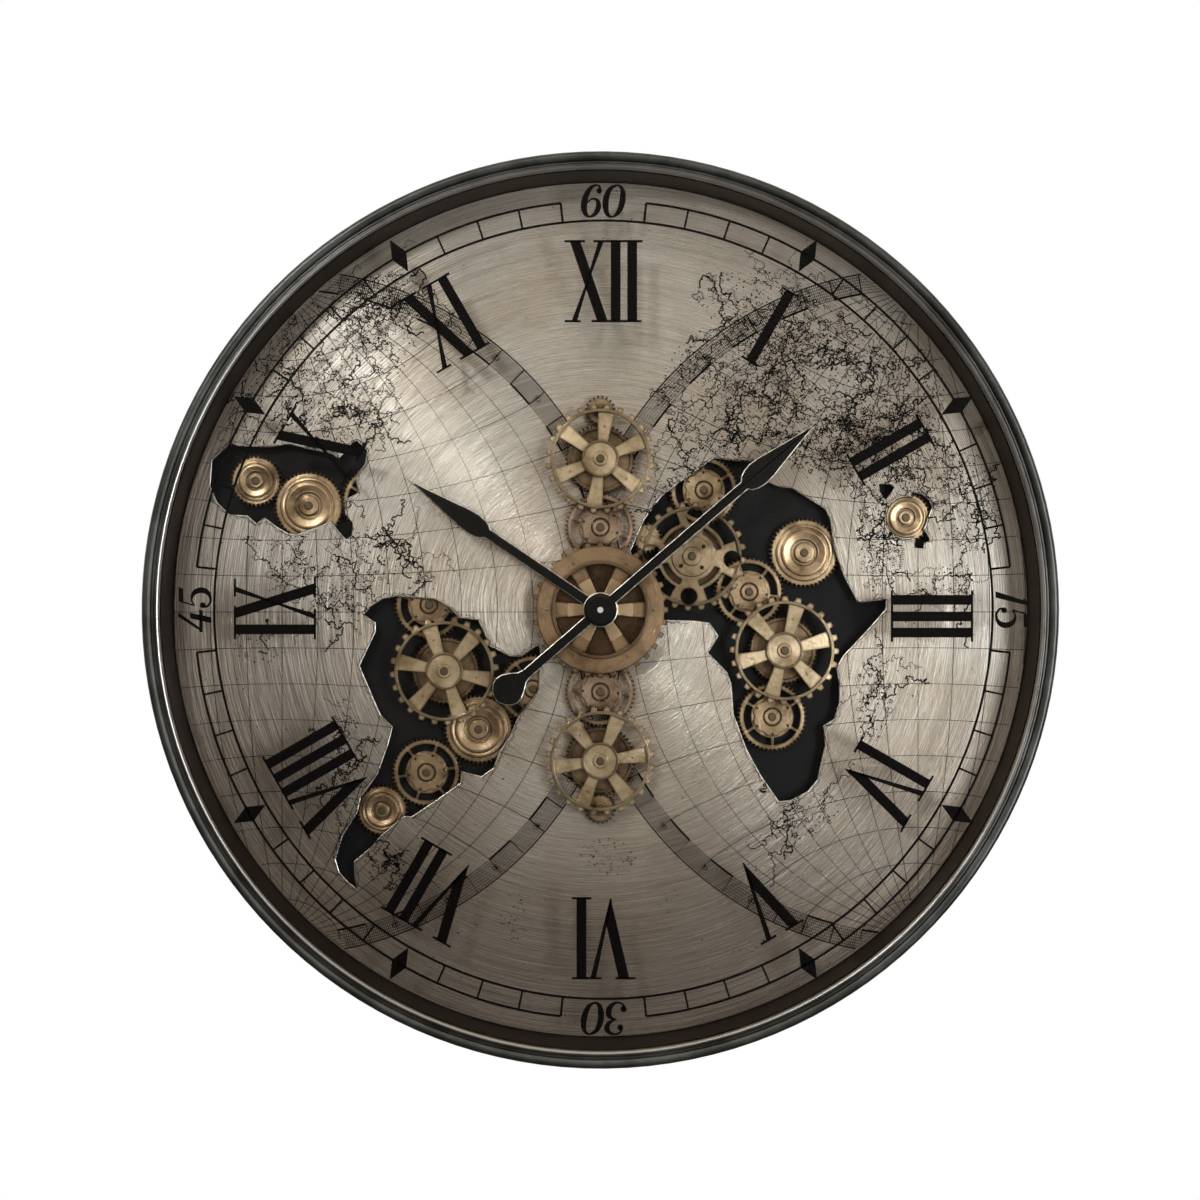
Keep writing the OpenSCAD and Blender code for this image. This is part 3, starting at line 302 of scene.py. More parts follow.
def plastic(name, colour, light, rough):
    material, place = startMaterial(name)
    grain = noise(place, 2600, 4, 0.7)
    dust = noise(place, 30, 5, 0.7)
    base = dust.between(0.4, 0.8).blend(colour, light)
    finishMaterial(place, {"Specular IOR Level": 0.45},
                   {"Base Color": base, "Roughness": rough + (grain - 0.5) * 0.2,
                    "Normal": bump(grain, 0.35, 0.00006)})
    return material


def zinc():
    material, place = startMaterial("zincPlate")
    spangle = place.add("ShaderNodeTexVoronoi", None, {"Vector": place, "Scale": 420.0}).other("Color")
    tone = spangle.add("ShaderNodeSeparateColor", None, {"Color": spangle})
    base = tone.blend((0.46, 0.455, 0.43), (0.6, 0.6, 0.57))
    scratch = noise(place, 500, 4, 0.7)
    finishMaterial(place, {"Metallic": 1.0},
                   {"Base Color": base, "Roughness": 0.32 + (scratch - 0.5) * 0.4,
                    "Normal": bump(scratch, 0.3, 0.00005)})
    return material


def clearGlass():
    material, place = startMaterial("clearGlass")
    haze = noise(place, 6, 4, 0.6)
    edge = place.add("ShaderNodeFresnel", None, {"IOR": 1.45})
    clear = place.add("ShaderNodeBsdfTransparent", None, {"Color": (0.985, 0.99, 0.985, 1)})
    shine = place.add("ShaderNodeBsdfGlossy", None, {"Roughness": haze * 0.03 + 0.02, "Color": (1, 1, 1, 1)})
    mixed = place.add("ShaderNodeMixShader", None, {0: edge * 0.14, 1: clear, 2: shine})
    place.add("ShaderNodeOutputMaterial", None, {"Surface": mixed})
    return material


def ink(name, colour, rough):
    material, place = startMaterial(name)
    speck = noise(place, 900, 4, 0.7)
    base = speck.between(0.55, 0.8).blend(colour, tuple(c * 2 for c in colour))
    finishMaterial(place, {"Specular IOR Level": 0.06},
                   {"Base Color": base, "Roughness": rough + (speck - 0.5) * 0.2})
    return material


def handBlack():
    look = {"paint": (0.003, 0.003, 0.003), "worn": (0.009, 0.008, 0.007),
            "dot": (0.95, 0.94, 0.9), "dotRadius": 0.0027}
    material, place = startMaterial("handBlack")
    radius = polar(place)[0]
    worn = noise(place, 90, 5, 0.7)
    orange = noise(place, 1400, 3, 0.5)
    dot = radius.between(look["dotRadius"] - 0.0002, look["dotRadius"], 1.0, 0.0)
    base = worn.between(0.5, 0.75).blend(look["paint"], look["worn"])
    finishMaterial(place, {"Specular IOR Level": 0.4},
                   {"Base Color": dot.blend(base, look["dot"]), "Metallic": dot * 0.3,
                    "Roughness": 0.2 + (worn - 0.5) * 0.2, "Normal": bump(orange, 0.06, 0.00002)})
    return material


# one material for each of the record's slots
materials = {
    "dial_metal": dialMetal(),
    "case_metal": gunmetal("caseMetal", (0.055, 0.055, 0.05), (0.12, 0.12, 0.11), 700, 0.42),
    "bezel_metal": gunmetal("bezelMetal", (0.05, 0.052, 0.047), (0.12, 0.122, 0.115), 1500, 0.4,
                            lip=(0.3848, 0.3863, 0.0008, (0.5, 0.485, 0.46))),
    "liner_metal": gunmetal("linerMetal", (0.032, 0.025, 0.021), (0.07, 0.056, 0.047), 500, 0.45),
    "clear_glass": clearGlass(),
    "black_plate": blackPlate(),
    "post_metal": enamel("postMetal", (0.02, 0.02, 0.02), (0.04, 0.04, 0.04), 0.5, 0.0, 0.3),
    "steel_fixings": zinc(),
    "movement_plastic": plastic("movementPlastic", (0.022, 0.023, 0.025), (0.05, 0.05, 0.052), 0.5),
    "switch_plastic": plastic("switchPlastic", (0.55, 0.54, 0.5), (0.66, 0.65, 0.6), 0.42),
    "cell_jacket": enamel("cellJacket", (0.05, 0.055, 0.06), (0.08, 0.085, 0.09), 0.3, 0.5),
    "hand_black": handBlack(),
    "stem_brass": brass("stemBrass", (0.3, 0.22, 0.1), (0.58, 0.45, 0.24)),
    "axle_brass": brass("axleBrass", (0.6, 0.45, 0.27), (1.0, 0.8, 0.52), rough=0.5),
}

# dark and bright brass, by slot or by node where a gear differs from its slot
tones = {
    "gear_brass": ((0.2, 0.13, 0.07), (0.74, 0.54, 0.34)),
    "wheel_brass": ((0.46, 0.33, 0.19), (1.0, 0.8, 0.53)),
    "africa_open_wheel": ((0.26, 0.19, 0.11), (0.7, 0.53, 0.34)),
    "centre_wheel": ((0.28, 0.18, 0.1), (0.6, 0.41, 0.25)),
    # painted shade: the centre gear lies deep behind the centre wheel and gets darker tones for it
    "centre_gear": ((0.05, 0.03, 0.018), (0.16, 0.1, 0.058)),
    "upper_star": ((0.26, 0.16, 0.1), (0.7, 0.51, 0.36)),
    "lower_star": ((0.26, 0.16, 0.1), (0.7, 0.51, 0.36)),
}
for behind in ("top_gear", "bottom_gear", "africa_spoked_gear", "south_spoked_gear", "africa_open_gear"):
    tones[behind] = ((0.09, 0.06, 0.036), (0.4, 0.28, 0.17))       # in the shade of the wheels before them
inners = {"centre_wheel": (0.0295, (0.86, 0.64, 0.4))}             # radius of the spokes, and their brass
for row in frame["record"]["subparts"]:
    piece = nodes[row["node"]]
    kind = row["material_slot"]
    if kind in ("gear_brass", "wheel_brass"):
        low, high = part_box(row["node"])
        tone = tones.get(row["node"], tones[kind])
        made = brass(f"brass_{row['node']}", *tone, (low + high) / 2, inners.get(row["node"]))
    else:
        made = materials[kind]
    piece.data.materials.clear()
    piece.data.materials.append(made)
print("materials on", len(nodes), "nodes")


def cutSteel():
    look = {"dull": (0.3, 0.28, 0.25), "bright": (0.86, 0.83, 0.77)}
    material, place = startMaterial("cutSteel")
    nick = noise(place, 260, 4, 0.7)
    base = nick.between(0.35, 0.6).blend(look["dull"], look["bright"])
    finishMaterial(place, {"Metallic": 1.0},
                   {"Base Color": base, "Roughness": 0.36 + (nick - 0.5) * 0.3,
                    "Normal": bump(nick, 0.2, 0.00004)})
    return material


cutEdge = cutSteel()
frontEdges = {
    "hour_hand": {"body": "hour", "kind": "hand_black", "width": 0.0008, "segments": 2},
    "minute_hand": {"body": "minute", "kind": "hand_black", "width": 0.0008, "segments": 2},
    "dial_plate": {"body": "clock_case", "kind": "dial_metal", "width": 0.0007, "segments": 2},
}


def frontRim(work):
    # the edges round each face that looks to the front
    return [e for e in work.edges if len(e.link_faces) == 2
            and sorted(f.normal.y < -0.95 for f in e.link_faces) == [False, True]]


def roundFront(name, body, kind, width, segments):
    # a solid's mesh is loose triangles: merge them, join flat faces, then round the front's edges
    work = bmesh.new()
    work.from_mesh(nodes[name].data)
    bmesh.ops.remove_doubles(work, verts=work.verts, dist=1e-6)
    bmesh.ops.dissolve_limit(work, angle_limit=0.02, verts=work.verts, edges=work.edges)
    bmesh.ops.remove_doubles(work, verts=work.verts, dist=width * 0.5)
    work.normal_update()
    edges = [e for e in frontRim(work) if min(abs(f.normal.y) for f in e.link_faces) < 0.3]
    bmesh.ops.bevel(work, geom=edges, offset=width, offset_type="OFFSET", segments=segments, profile=0.5,
                    affect="EDGES", clamp_overlap=False)
    bmesh.ops.triangulate(work, faces=[f for f in work.faces if len(f.verts) > 4])
    mesh = bpy.data.meshes.new(name + "Rounded")
    work.to_mesh(mesh)
    work.free()
    mesh.materials.append(materials[kind])
    mesh.materials.append(cutEdge)
    for face in mesh.polygons:
        # the rounded rim is bare metal, apart from the dial's outer edge
        if -0.97 < face.normal.y < -0.05 and math.hypot(face.center.x, face.center.z + dial["drop"]) < 0.38:
            face.material_index = 1
    made = bpy.data.objects.new(name + "Rounded", mesh)
    bpy.context.scene.collection.objects.link(made)
    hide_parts(name)
    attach(made, body)


for name, edge in frontEdges.items():
    roundFront(name, **edge)
print("rounded edges")


# a print: thin closed strips and plates drawn in the dial's plane
class Sheet:
    def __init__(self, depth):
        self.depth, self.film = depth, dial["film"]
        self.points, self.faces = [], []

    def plate(self, outline):
        # outline runs anticlockwise as seen from the front
        start, n = len(self.points), len(outline)
        self.points += [onFace(x, y, self.depth + self.film) for x, y in outline]
        self.points += [onFace(x, y, self.depth) for x, y in outline]
        self.faces.append([start + i for i in range(n)])
        self.faces.append([start + n + i for i in reversed(range(n))])
        for i in range(n):
            j = (i + 1) % n
            self.faces.append([start + i, start + n + i, start + n + j, start + j])

    def strip(self, line, widths, closed=False):
        # a line of points, with one width or a width at each
        start, n = len(self.points), len(line)
        for i, (x, y) in enumerate(line):
            before = line[i - 1] if i or closed else line[0]
            after = line[(i + 1) % n] if i < n - 1 or closed else line[-1]
            dx, dy = after[0] - before[0], after[1] - before[1]
            size = math.hypot(dx, dy) or 1.0
            w = (widths[i] if isinstance(widths, (list, tuple)) else widths) / 2
            ox, oy = -dy / size * w, dx / size * w
            for side, depth in ((1, self.film), (-1, self.film), (-1, 0), (1, 0)):
                self.points.append(onFace(x + side * ox, y + side * oy, self.depth + depth))
        for i in range(n if closed else n - 1):
            a, b = start + 4 * i, start + 4 * ((i + 1) % n)
            for j in range(4):
                k = (j + 1) % 4
                self.faces.append([a + j, a + k, b + k, b + j])
        if not closed:
            self.faces.append([start, start + 3, start + 2, start + 1])
            self.faces.append([start + 4 * (n - 1) + j for j in range(4)])

    def arc(self, cx, cy, radius, width, start=0.0, end=360.0):
        whole = end - start >= 360
        count = int((end - start) / 1.5)
        turns = [math.radians(start + (end - start) * i / count) for i in range(count + (not whole))]
        self.strip([(cx + radius * math.cos(a), cy + radius * math.sin(a)) for a in turns], width, whole)

    def piece(self, name, material):
        mesh = bpy.data.meshes.new(name)
        mesh.from_pydata([tuple(p) for p in self.points], [], self.faces)
        mesh.materials.append(material)
        made = bpy.data.objects.new(name, mesh)
        bpy.context.scene.collection.objects.link(made)
        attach(made, "clock_case")
        print(name, len(mesh.polygons), "faces")


def curveThrough(points, per=7, closed=False):
    # smooth line through rows of numbers
    n = len(points)
    line = []
    for i in range(n if closed else n - 1):
        rows = [points[(i + j) % n] if closed else points[min(max(i + j, 0), n - 1)] for j in (-1, 0, 1, 2)]
        for s in range(per):
            t = s / per
            line.append(tuple(
                0.5 * (2 * b + (c - a) * t + (2 * a - 5 * b + 4 * c - d) * t * t
                       + (3 * b - a - 3 * c + d) * t ** 3) for a, b, c, d in zip(*rows)))
    if not closed:
        line.append(tuple(points[-1]))
    return line


glassPrint = {
    "centre": (2.7, 0.2), "behind": 0.02,      # how far the print lies below the glass
    "inner": 340.7, "outer": 357.8, "line": 2.1,
    "gap": 6.0,                                # half angle left free for each number
    "stop": 2.0, "tick": 1.8,
    "lozenge": (341.5, 374.0, 7.2),            # foot, head and half width
    "numeralFoot": 252.6, "numeralHead": 322.6,
    "unit": 0.878,                             # what the numerals' own numbers are counted in
    "stem": 9.8, "thick": 10.6, "hair": 2.3, "flare": 5.6, "serif": 2.0,
    "point": 1.0, "fork": (1.2, 2.0),          # how far a V goes below the foot, and where its legs part
    "digitFoot": 343.2, "digitHead": 372.4,
}
# places across each numeral: stems, V (thick top, foot, thin top),
# X (thick top and foot, thin top and foot), and the serifs at top and foot
numeralForms = {
    1: {"stems": [3.1], "top": [(-6.8, 12.6)], "foot": [(-6.8, 12.6)]},
    2: {"stems": [-3.4, 12.9], "top": [(-13, 23.4)], "foot": [(-13, 23.4)]},
    3: {"stems": [-9.8, 6.7, 22.8], "top": [(-19.2, 32)], "foot": [(-19.2, 32)]},
    4: {"stems": [-11], "vee": (33.3, 16.8, -0.2), "top": [(-21, 8.4), (23.4, 43.8)],
        "foot": [(-20.5, -2)]},
    5: {"stems": [], "vee": (-7.3, 5.8, 21.3), "top": [(-18.4, 2.6), (13.1, 31)], "foot": []},
    6: {"stems": [21.9], "vee": (-20.5, -7, 10.2), "top": [(-32, -11.8), (1.8, 31.5)],
        "foot": [(11.8, 31.5)]},
    7: {"stems": [18.2, 34.6], "vee": (-25.5, -10.8, 5.8), "top": [(-36.2, -15.7), (-3.4, 43.8)],
        "foot": [(8.4, 43.8)]},
    8: {"stems": [1.2, 17.5, 33.7], "vee": (-42.8, -26.5, -10), "top": [(-52, -31), (-17.8, 43)],
        "foot": [(-8.4, 43)]},
    9: {"stems": [-19.6], "ex": (-3.4, 21.3, 20.7, -6.8), "top": [(-29.7, 3.9), (13, 31)],
        "foot": [(-29.7, 1), (12, 33)]},
    10: {"stems": [], "ex": (-11, 15, 13.6, -13), "top": [(-21, 1.5), (5, 23.5)],
         "foot": [(-23, -4), (5, 26)]},
    11: {"stems": [25.9], "ex": (-13.1, 11.3, 11.3, -16.5), "top": [(-24.4, -3.4), (3.1, 34.6)],
         "foot": [(-25.7, -9.4), (1.3, 34.6)]},
    12: {"stems": [12.2, 28.7], "ex": (-28.3, -1, -2.4, -29), "top": [(-38.8, -18.4), (-10, 39)],
         "foot": [(-38.8, -22.6), (-12, 38)]},
}
# pen strokes of the digits: right, up and width in hundredths of the height
digitStrokes = {
    "6": [(57, 82, 9), (56, 93, 6.5), (46.5, 97.5, 6), (31.5, 91, 11), (18.3, 71.8, 16.5),
          (10.7, 49.3, 18.5), (9.3, 29.6, 18), (14.1, 11.3, 13.5), (25.9, 3.2, 6.5), (42.3, 11.3, 12.5),
          (52, 29.6, 16.5), (51.5, 47, 13), (42.3, 56, 7), (30, 55, 5.5), (18.5, 44, 5)],
    "0": [(45.1, 97, 6), (23.9, 86, 13), (12.1, 60.6, 18), (9.9, 32.4, 18), (15.5, 10.5, 12.5), (29.6, 3, 6),
          (46.5, 14.1, 13), (57.7, 38, 17.5), (62, 63.4, 17.5), (59.2, 86.5, 12)],
    "5": [(11, 27, 10), (8, 14, 7), (21, 3.2, 7), (38, 4, 9), (52, 14, 15), (57, 31, 17.5), (51, 49, 15),
          (37, 58.5, 8), (22, 57.5, 5), (12, 52, 4.5), (17, 70, 4.5), (23, 90, 5)],
    "3": [(17, 78, 9), (17, 90, 7), (32, 97.3, 6), (49, 93, 11), (58, 80, 16), (53, 65, 13), (38, 54.5, 6),
          (30, 53, 5), (41, 51, 8), (52, 40, 16), (51, 21, 17), (38, 6, 10), (22, 3, 6), (9, 10, 7),
          (7, 22, 10)],
    "2": [(14, 72, 12), (22, 92, 9), (42, 95, 10), (54, 76, 14), (40, 50, 11), (6, 9, 9), (30, 8, 12),
          (60, 12, 10)],
    "7": [(12, 90, 12), (60, 92, 12), (34, 45, 12), (24, 4, 14)],
    "8": [(36, 52, 8), (14, 74, 13), (34, 97, 8), (56, 76, 13), (36, 52, 8), (10, 26, 14), (32, 3, 8),
          (56, 24, 14)],
}
digitWidths = {"6": 64, "0": 71, "1": 46, "5": 67, "3": 66, "4": 70, "2": 66, "7": 62, "8": 66}
digitBalls = {"6": [(55, 80, 8.5)], "0": [], "5": [(12, 26, 8.8)], "3": [(18, 77, 9), (8, 22, 9.5)]}
digitPlates = {
    "1": [[(1, 0), (20.5, 0), (45, 100), (40, 100), (22, 87), (23, 83), (28, 84)]],
    "4": [[(28, 0), (46, 0), (60, 66), (42, 62)], [(0, 26), (66, 26), (69, 37), (2, 36)],
          [(0, 26), (12, 31), (61, 99), (48, 100)]],
    "5": [[(20, 84), (26, 84), (62, 85), (67, 100), (60, 98), (24, 99)]],
}


def turnedFace(angle):
    # from upright millimetres to the face, turned clockwise
    a = math.radians(angle)
    return lambda x, y: (glassPrint["centre"][0] + x * math.cos(a) + y * math.sin(a),
                         glassPrint["centre"][1] - x * math.sin(a) + y * math.cos(a))


def drawNumeral(sheet, hour, form):
    g = glassPrint
    unit, foot, head = g["unit"], g["numeralFoot"], g["numeralHead"]
    to = turnedFace(30 * hour)

    def bar(topX, topW, footX, footW, y0=foot, y1=head):
        sheet.plate([to(x * unit, y) for x, y in (
            (footX - footW / 2, y0), (footX + footW / 2, y0), (topX + topW / 2, y1), (topX - topW / 2, y1))])

    for x in form["stems"]:
        bar(x, g["stem"], x, g["stem"])
    if "vee" in form:
        thick, apex, thin = form["vee"]
        lean = 1 if apex > thick else -1
        wide, flare = g["thick"] * unit / 2, g["flare"] * unit / 2
        point = (apex * unit, foot - g["point"])
        # the thick leg keeps its width until the thin leg's outer side cuts it off
        outer, inner = (thick * unit - lean * wide, head), (thick * unit + lean * wide, head)
        thinOuter, thinInner = (thin * unit + lean * flare, head), (thin * unit - lean * flare, head)
        slope = (point[0] - outer[0]) / (point[1] - outer[1])
        rise = (thinOuter[0] - point[0]) / (thinOuter[1] - point[1])
        y = (inner[0] - slope * head - point[0] + rise * point[1]) / (rise - slope)
        meet = (point[0] + rise * (y - point[1]), y)
        thickLeg = [outer, point, meet, inner]
        thinLeg = [thinInner, (point[0] - lean * g["fork"][0], foot + g["fork"][1]), point, thinOuter]
        for leg in (thickLeg, thinLeg):
            sheet.plate([to(*c) for c in (leg if lean > 0 else reversed(leg))])
    if "ex" in form:
        top, low, thinTop, thinLow = form["ex"]
        bar(top, g["thick"], low, g["thick"])
        mid, middle = (thinTop + thinLow) / 2, (foot + head) / 2
        bar(thinTop, g["flare"], mid, g["hair"], middle, head)
        bar(mid, g["hair"], thinLow, g["flare"], foot, middle)
    half = g["serif"] / 2
    for ends, y in [(e, head) for e in form["top"]] + [(e, foot) for e in form["foot"]]:
        a, b = ends[0] * unit, ends[1] * unit
        sheet.plate([to(*c) for c in ((a, y - half), (b, y - half), (b, y + half), (a, y + half))])


def drawDigits(sheet, text, to, foot, unit, per=7):
    # text centred on an upright line; unit is a hundredth of its height
    x = -sum(digitWidths[c] for c in text) * unit / 2
    for c in text:
        place = lambda u, v, x=x: to(x + u * unit, foot + v * unit)
        if c in digitStrokes:
            line = curveThrough(digitStrokes[c], per, c in "08")
            sheet.strip([place(u, v) for u, v, w in line], [w * unit for u, v, w in line], c in "08")
        for u, v, r in digitBalls.get(c, []):
            sheet.plate([place(u + r * math.cos(t * math.pi / 8), v + r * math.sin(t * math.pi / 8))
                         for t in range(16)])
        for outline in digitPlates.get(c, []):
            sheet.plate([place(u, v) for u, v in outline])
        x += digitWidths[c] * unit


def drawGlassPrint():
    g = glassPrint
    half = g["stop"] / 2
    sheet = Sheet(dial["glass"] - g["behind"] - dial["film"])
    cx, cy = g["centre"]
    sheet.arc(cx, cy, g["inner"], g["line"])
    for quarter in range(4):
        start, end = 90 * quarter + g["gap"], 90 * (quarter + 1) - g["gap"]
        sheet.arc(cx, cy, g["outer"], g["line"], start, end)
        for angle in (start, end):
            to = turnedFace(90 - angle)
            sheet.plate([to(*c) for c in (
                (-half, g["inner"]), (half, g["inner"]), (half, g["outer"]), (-half, g["outer"]))])
    for hour, form in numeralForms.items():
        drawNumeral(sheet, hour, form)
    for text, angle in (("60", 0), ("15", 90), ("30", 180), ("45", 270)):
        drawDigits(sheet, text, turnedFace(angle), g["digitFoot"], (g["digitHead"] - g["digitFoot"]) / 100)
    sheet.piece("glassPrint", printBlack)


printBlack = ink("printBlack", (0.0015, 0.001, 0.001), 0.6)
drawGlassPrint()
print("glass print")


def startGrowth(name, sizes):
    # a Geometry Nodes tree with one named input for each size
    kinds = {int: "NodeSocketInt", float: "NodeSocketFloat", tuple: "NodeSocketVector",
             bpy.types.Object: "NodeSocketObject"}
    tree = bpy.data.node_groups.new(name, "GeometryNodeTree")
    tree.interface.new_socket("Mesh", in_out="OUTPUT", socket_type="NodeSocketGeometry")
    for label, value in sizes.items():
        tree.interface.new_socket(label, in_out="INPUT", socket_type=kinds[type(value)])
    return Wire(tree, None).add("NodeGroupInput")


def finishGrowth(entry, instances, material):
    # stood up to face the front, at its place, as plain geometry
    whole = entry.add("GeometryNodeRealizeInstances", None, {"Geometry": instances})
    stood = entry.add("GeometryNodeTransform", None, {
        "Geometry": whole, "Rotation": (math.pi / 2, 0, 0), "Translation": entry.other("Place")})
    skinned = entry.add("GeometryNodeSetMaterial", None, {"Geometry": stood, "Material": material})
    entry.add("NodeGroupOutput", None, {"Mesh": skinned})
    return entry.tree


def grow(name, tree, sizes, body):
    made = bpy.data.objects.new(name, bpy.data.meshes.new(name + "Start"))
    bpy.context.scene.collection.objects.link(made)
    modifier = made.modifiers.new("grow", "NODES")
    modifier.node_group = tree
    sockets = {item.name: item.identifier for item in tree.interface.items_tree if item.in_out == "INPUT"}
    for label, value in sizes.items():
        modifier[sockets[label]] = value
    shape = bpy.data.meshes.new_from_object(made.evaluated_get(bpy.context.evaluated_depsgraph_get()))
    made.modifiers.clear()
    made.data = shape
    shape.name = name
    if shape.materials[0] is None:
        shape.materials.pop(index=0)       # the empty slot of the mesh that it started from
    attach(made, body)
    print(name, len(shape.polygons), "faces")
    return made


def growMinuteTrack():
    g = glassPrint
    low, high, half = g["lozenge"]
    sizes = {
        "Count": 60, "Quarter": 15, "Step": 5,
        "Inner": g["inner"] / 1000, "Outer": g["outer"] / 1000, "Tick Width": g["tick"] / 1000,
        "Lozenge Foot": low / 1000, "Lozenge Head": high / 1000, "Lozenge Half": half / 1000,
        "Film": dial["film"] / 1000,
        "Place": tuple(onFace(*g["centre"], dial["glass"] - g["behind"] - dial["film"] / 2)),
    }
    entry = startGrowth("minuteTrack", sizes)
    size = entry.other
    index = entry.add("GeometryNodeInputIndex")
    place = index.math("MODULO", size("Quarter"))
    # nothing beside the four numbers
    kept = place.math("GREATER_THAN", 1.5) * place.math("LESS_THAN", size("Quarter") - 1.5)
    fifth = index.math("MODULO", size("Step")).math("LESS_THAN", 0.5)
    turn = vectorOf(entry, z=index / size("Count") * math.tau)
    tick = entry.add("GeometryNodeMeshCube", None, {
        "Size": vectorOf(entry, size("Outer") - size("Inner"), size("Tick Width"), size("Film"))})
    square = entry.add("GeometryNodeMeshCylinder", None,
                       {"Vertices": 4, "Radius": 1.0, "Depth": size("Film")})
    lozenge = entry.add("GeometryNodeTransform", None, {
        "Geometry": square, "Scale": vectorOf(entry, (size("Lozenge Head") - size("Lozenge Foot")) * 0.5,
                                              size("Lozenge Half"), 1.0)})
    both = entry.add("GeometryNodeJoinGeometry")
    for shape, chosen, radius in (
            (tick, kept * (1 - fifth), (size("Inner") + size("Outer")) * 0.5),
            (lozenge, kept * fifth, (size("Lozenge Foot") + size("Lozenge Head")) * 0.5)):
        ring = entry.add("GeometryNodeMeshCircle", None, {"Vertices": size("Count"), "Radius": radius})
        marks = entry.add("GeometryNodeInstanceOnPoints", None,
                          {"Points": ring, "Selection": chosen, "Instance": shape, "Rotation": turn})
        entry.tree.links.new(marks.socket, both.socket.node.inputs[0])
    grow("minuteTrack", finishGrowth(entry, both, printBlack), sizes, "clock_case")


screwCut = {
    "head": 0.0036, "height": 0.0022, "shank": 0.0019, "segments": 24,
    "flat": 0.0025, "brow": 0.0033, "browFall": 0.00032,      # the crown: level middle, then its shoulder
    "arm": 0.00042, "reach": 0.0017, "depth": 0.0012, "taper": 0.8,
}
screwRings = {"dial_screws": (0.3711, 0.0), "plate_screws": (0.3898, math.pi / 8)}      # radius, first angle


def screwShape(length):
    # a pan-head screw along Z with its head's top at 0, facing down, and a cross recess in it
    cut = screwCut
    turns = [math.tau * i / cut["segments"] for i in range(cut["segments"])]
    work = bmesh.new()
    rounds = [(cut["flat"], 0.0), (cut["brow"], cut["browFall"]), (cut["head"], cut["height"] / 2),
              (cut["head"], cut["height"]), (cut["shank"], cut["height"]), (cut["shank"], length)]
    rows = [[work.verts.new((r * math.cos(a), r * math.sin(a), z)) for a in turns] for r, z in rounds]
    a, r = cut["arm"], cut["reach"]
    cross = [(a, a), (a, r), (-a, r), (-a, a), (-r, a), (-r, -a),
             (-a, -a), (-a, -r), (a, -r), (a, -a), (r, -a), (r, a)]
    mouth = [work.verts.new((x, y, 0)) for x, y in cross]
    floor = [work.verts.new((x * cut["taper"], y * cut["taper"], cut["depth"])) for x, y in cross]
    for row, after in [*zip(rows, rows[1:]), (mouth, floor)]:
        for i in range(len(row)):
            j = (i + 1) % len(row)
            work.faces.new((row[i], row[j], after[j], after[i]))
    work.faces.new(rows[-1])
    work.faces.new(floor)
    rim = [work.edges.get((row[i - 1], row[i])) for row in (rows[0], mouth) for i in range(len(row))]
    bmesh.ops.triangle_fill(work, edges=rim, use_beauty=True)
    bmesh.ops.recalc_face_normals(work, faces=work.faces)
    return work


def growScrews():
    # each ring of screws takes its place and length from its solid
    for name, (radius, first) in screwRings.items():
        low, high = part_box(name)
        work = screwShape(high.y - low.y)
        pattern = bpy.data.objects.new(name + "Pattern", bpy.data.meshes.new(name + "Pattern"))
        work.to_mesh(pattern.data)
        work.free()
        bpy.context.scene.collection.objects.link(pattern)
        sizes = {"Screw": pattern, "Count": 8, "Ring Radius": radius, "First Angle": first,
                 "Place": (0.0, high.y, -dial["drop"]), "Seed": 4}
        entry = startGrowth(name + "Ring", sizes)
        size = entry.other
        ring = entry.add("GeometryNodeMeshCircle", None,
                         {"Vertices": size("Count"), "Radius": size("Ring Radius")})
        ring = entry.add("GeometryNodeTransform", None,
                         {"Geometry": ring, "Rotation": vectorOf(entry, z=size("First Angle"))})
        spin = entry.add("FunctionNodeRandomValue", {"data_type": "FLOAT"},
                         {2: 0.0, 3: math.tau, "Seed": size("Seed")}, out=1)
        shape = entry.add("GeometryNodeObjectInfo", {"transform_space": "ORIGINAL"},
                          {"Object": size("Screw")}, out=4)
        screws = entry.add("GeometryNodeInstanceOnPoints", None,
                           {"Points": ring, "Instance": shape, "Rotation": vectorOf(entry, z=spin)})
        tree = finishGrowth(entry, screws, materials["steel_fixings"])
        made = grow(name + "Cut", tree, sizes, "clock_case")
        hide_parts(name)
        bpy.data.objects.remove(pattern)


growMinuteTrack()
growScrews()
print("minute track and screws")


# an old two-hemisphere map printed on the dial: grid, border scales and ragged coasts
mapPrint = {
    "seed": 11,
    "edge": 383.4, "dotEdge": 383, "hatchEdge": 380, "numberEdge": 372,      # how far out each mark may reach
    "halves": ((-286.2, -2.1), (285.7, -2.0)), "reach": 290.4, "parts": 9,
    "grid": 0.62, "outline": 1.2, "bar": 2.0, "tick": 0.868,
    "band": 17.6, "bandLines": 7, "marks": 72, "hatch": 0.45, "hatchPitch": 1.8, "number": 5.2,
    "gridRise": 0.01, "coastRise": 0.015,                                    # height above the dial's face
}
chance = random.Random(mapPrint["seed"])


def solidTest(name, depth):
    mesh = nodes[name].data
    tree = BVHTree.FromPolygons([v.co for v in mesh.vertices], [list(p.vertices) for p in mesh.polygons])
    return lambda x, y: tree.ray_cast(onFace(x, y, depth + 1), Vector((0, 1, 0)), 0.0012)[0] is not None


dialSolid = solidTest("dial_plate", dial["face"])


def inkLine(sheet, line, width):
    # only where there is dial to print on
    run = []
    for x, y in [*line, (1e6, 0)]:
        if math.hypot(x, y) < mapPrint["edge"] and dialSolid(x, y):
            run.append((x, y))
        else:
            if len(run) > 1:
                sheet.strip(run, width)
            run = []


def inkDot(sheet, x, y, r, sides=6):
    if math.hypot(x, y) < mapPrint["dotEdge"] and dialSolid(x, y):
        first = chance.random()
        turns = [first + math.tau * i / sides for i in range(sides)]
        sheet.plate([(x + r * math.cos(a), y + r * math.sin(a)) for a in turns])


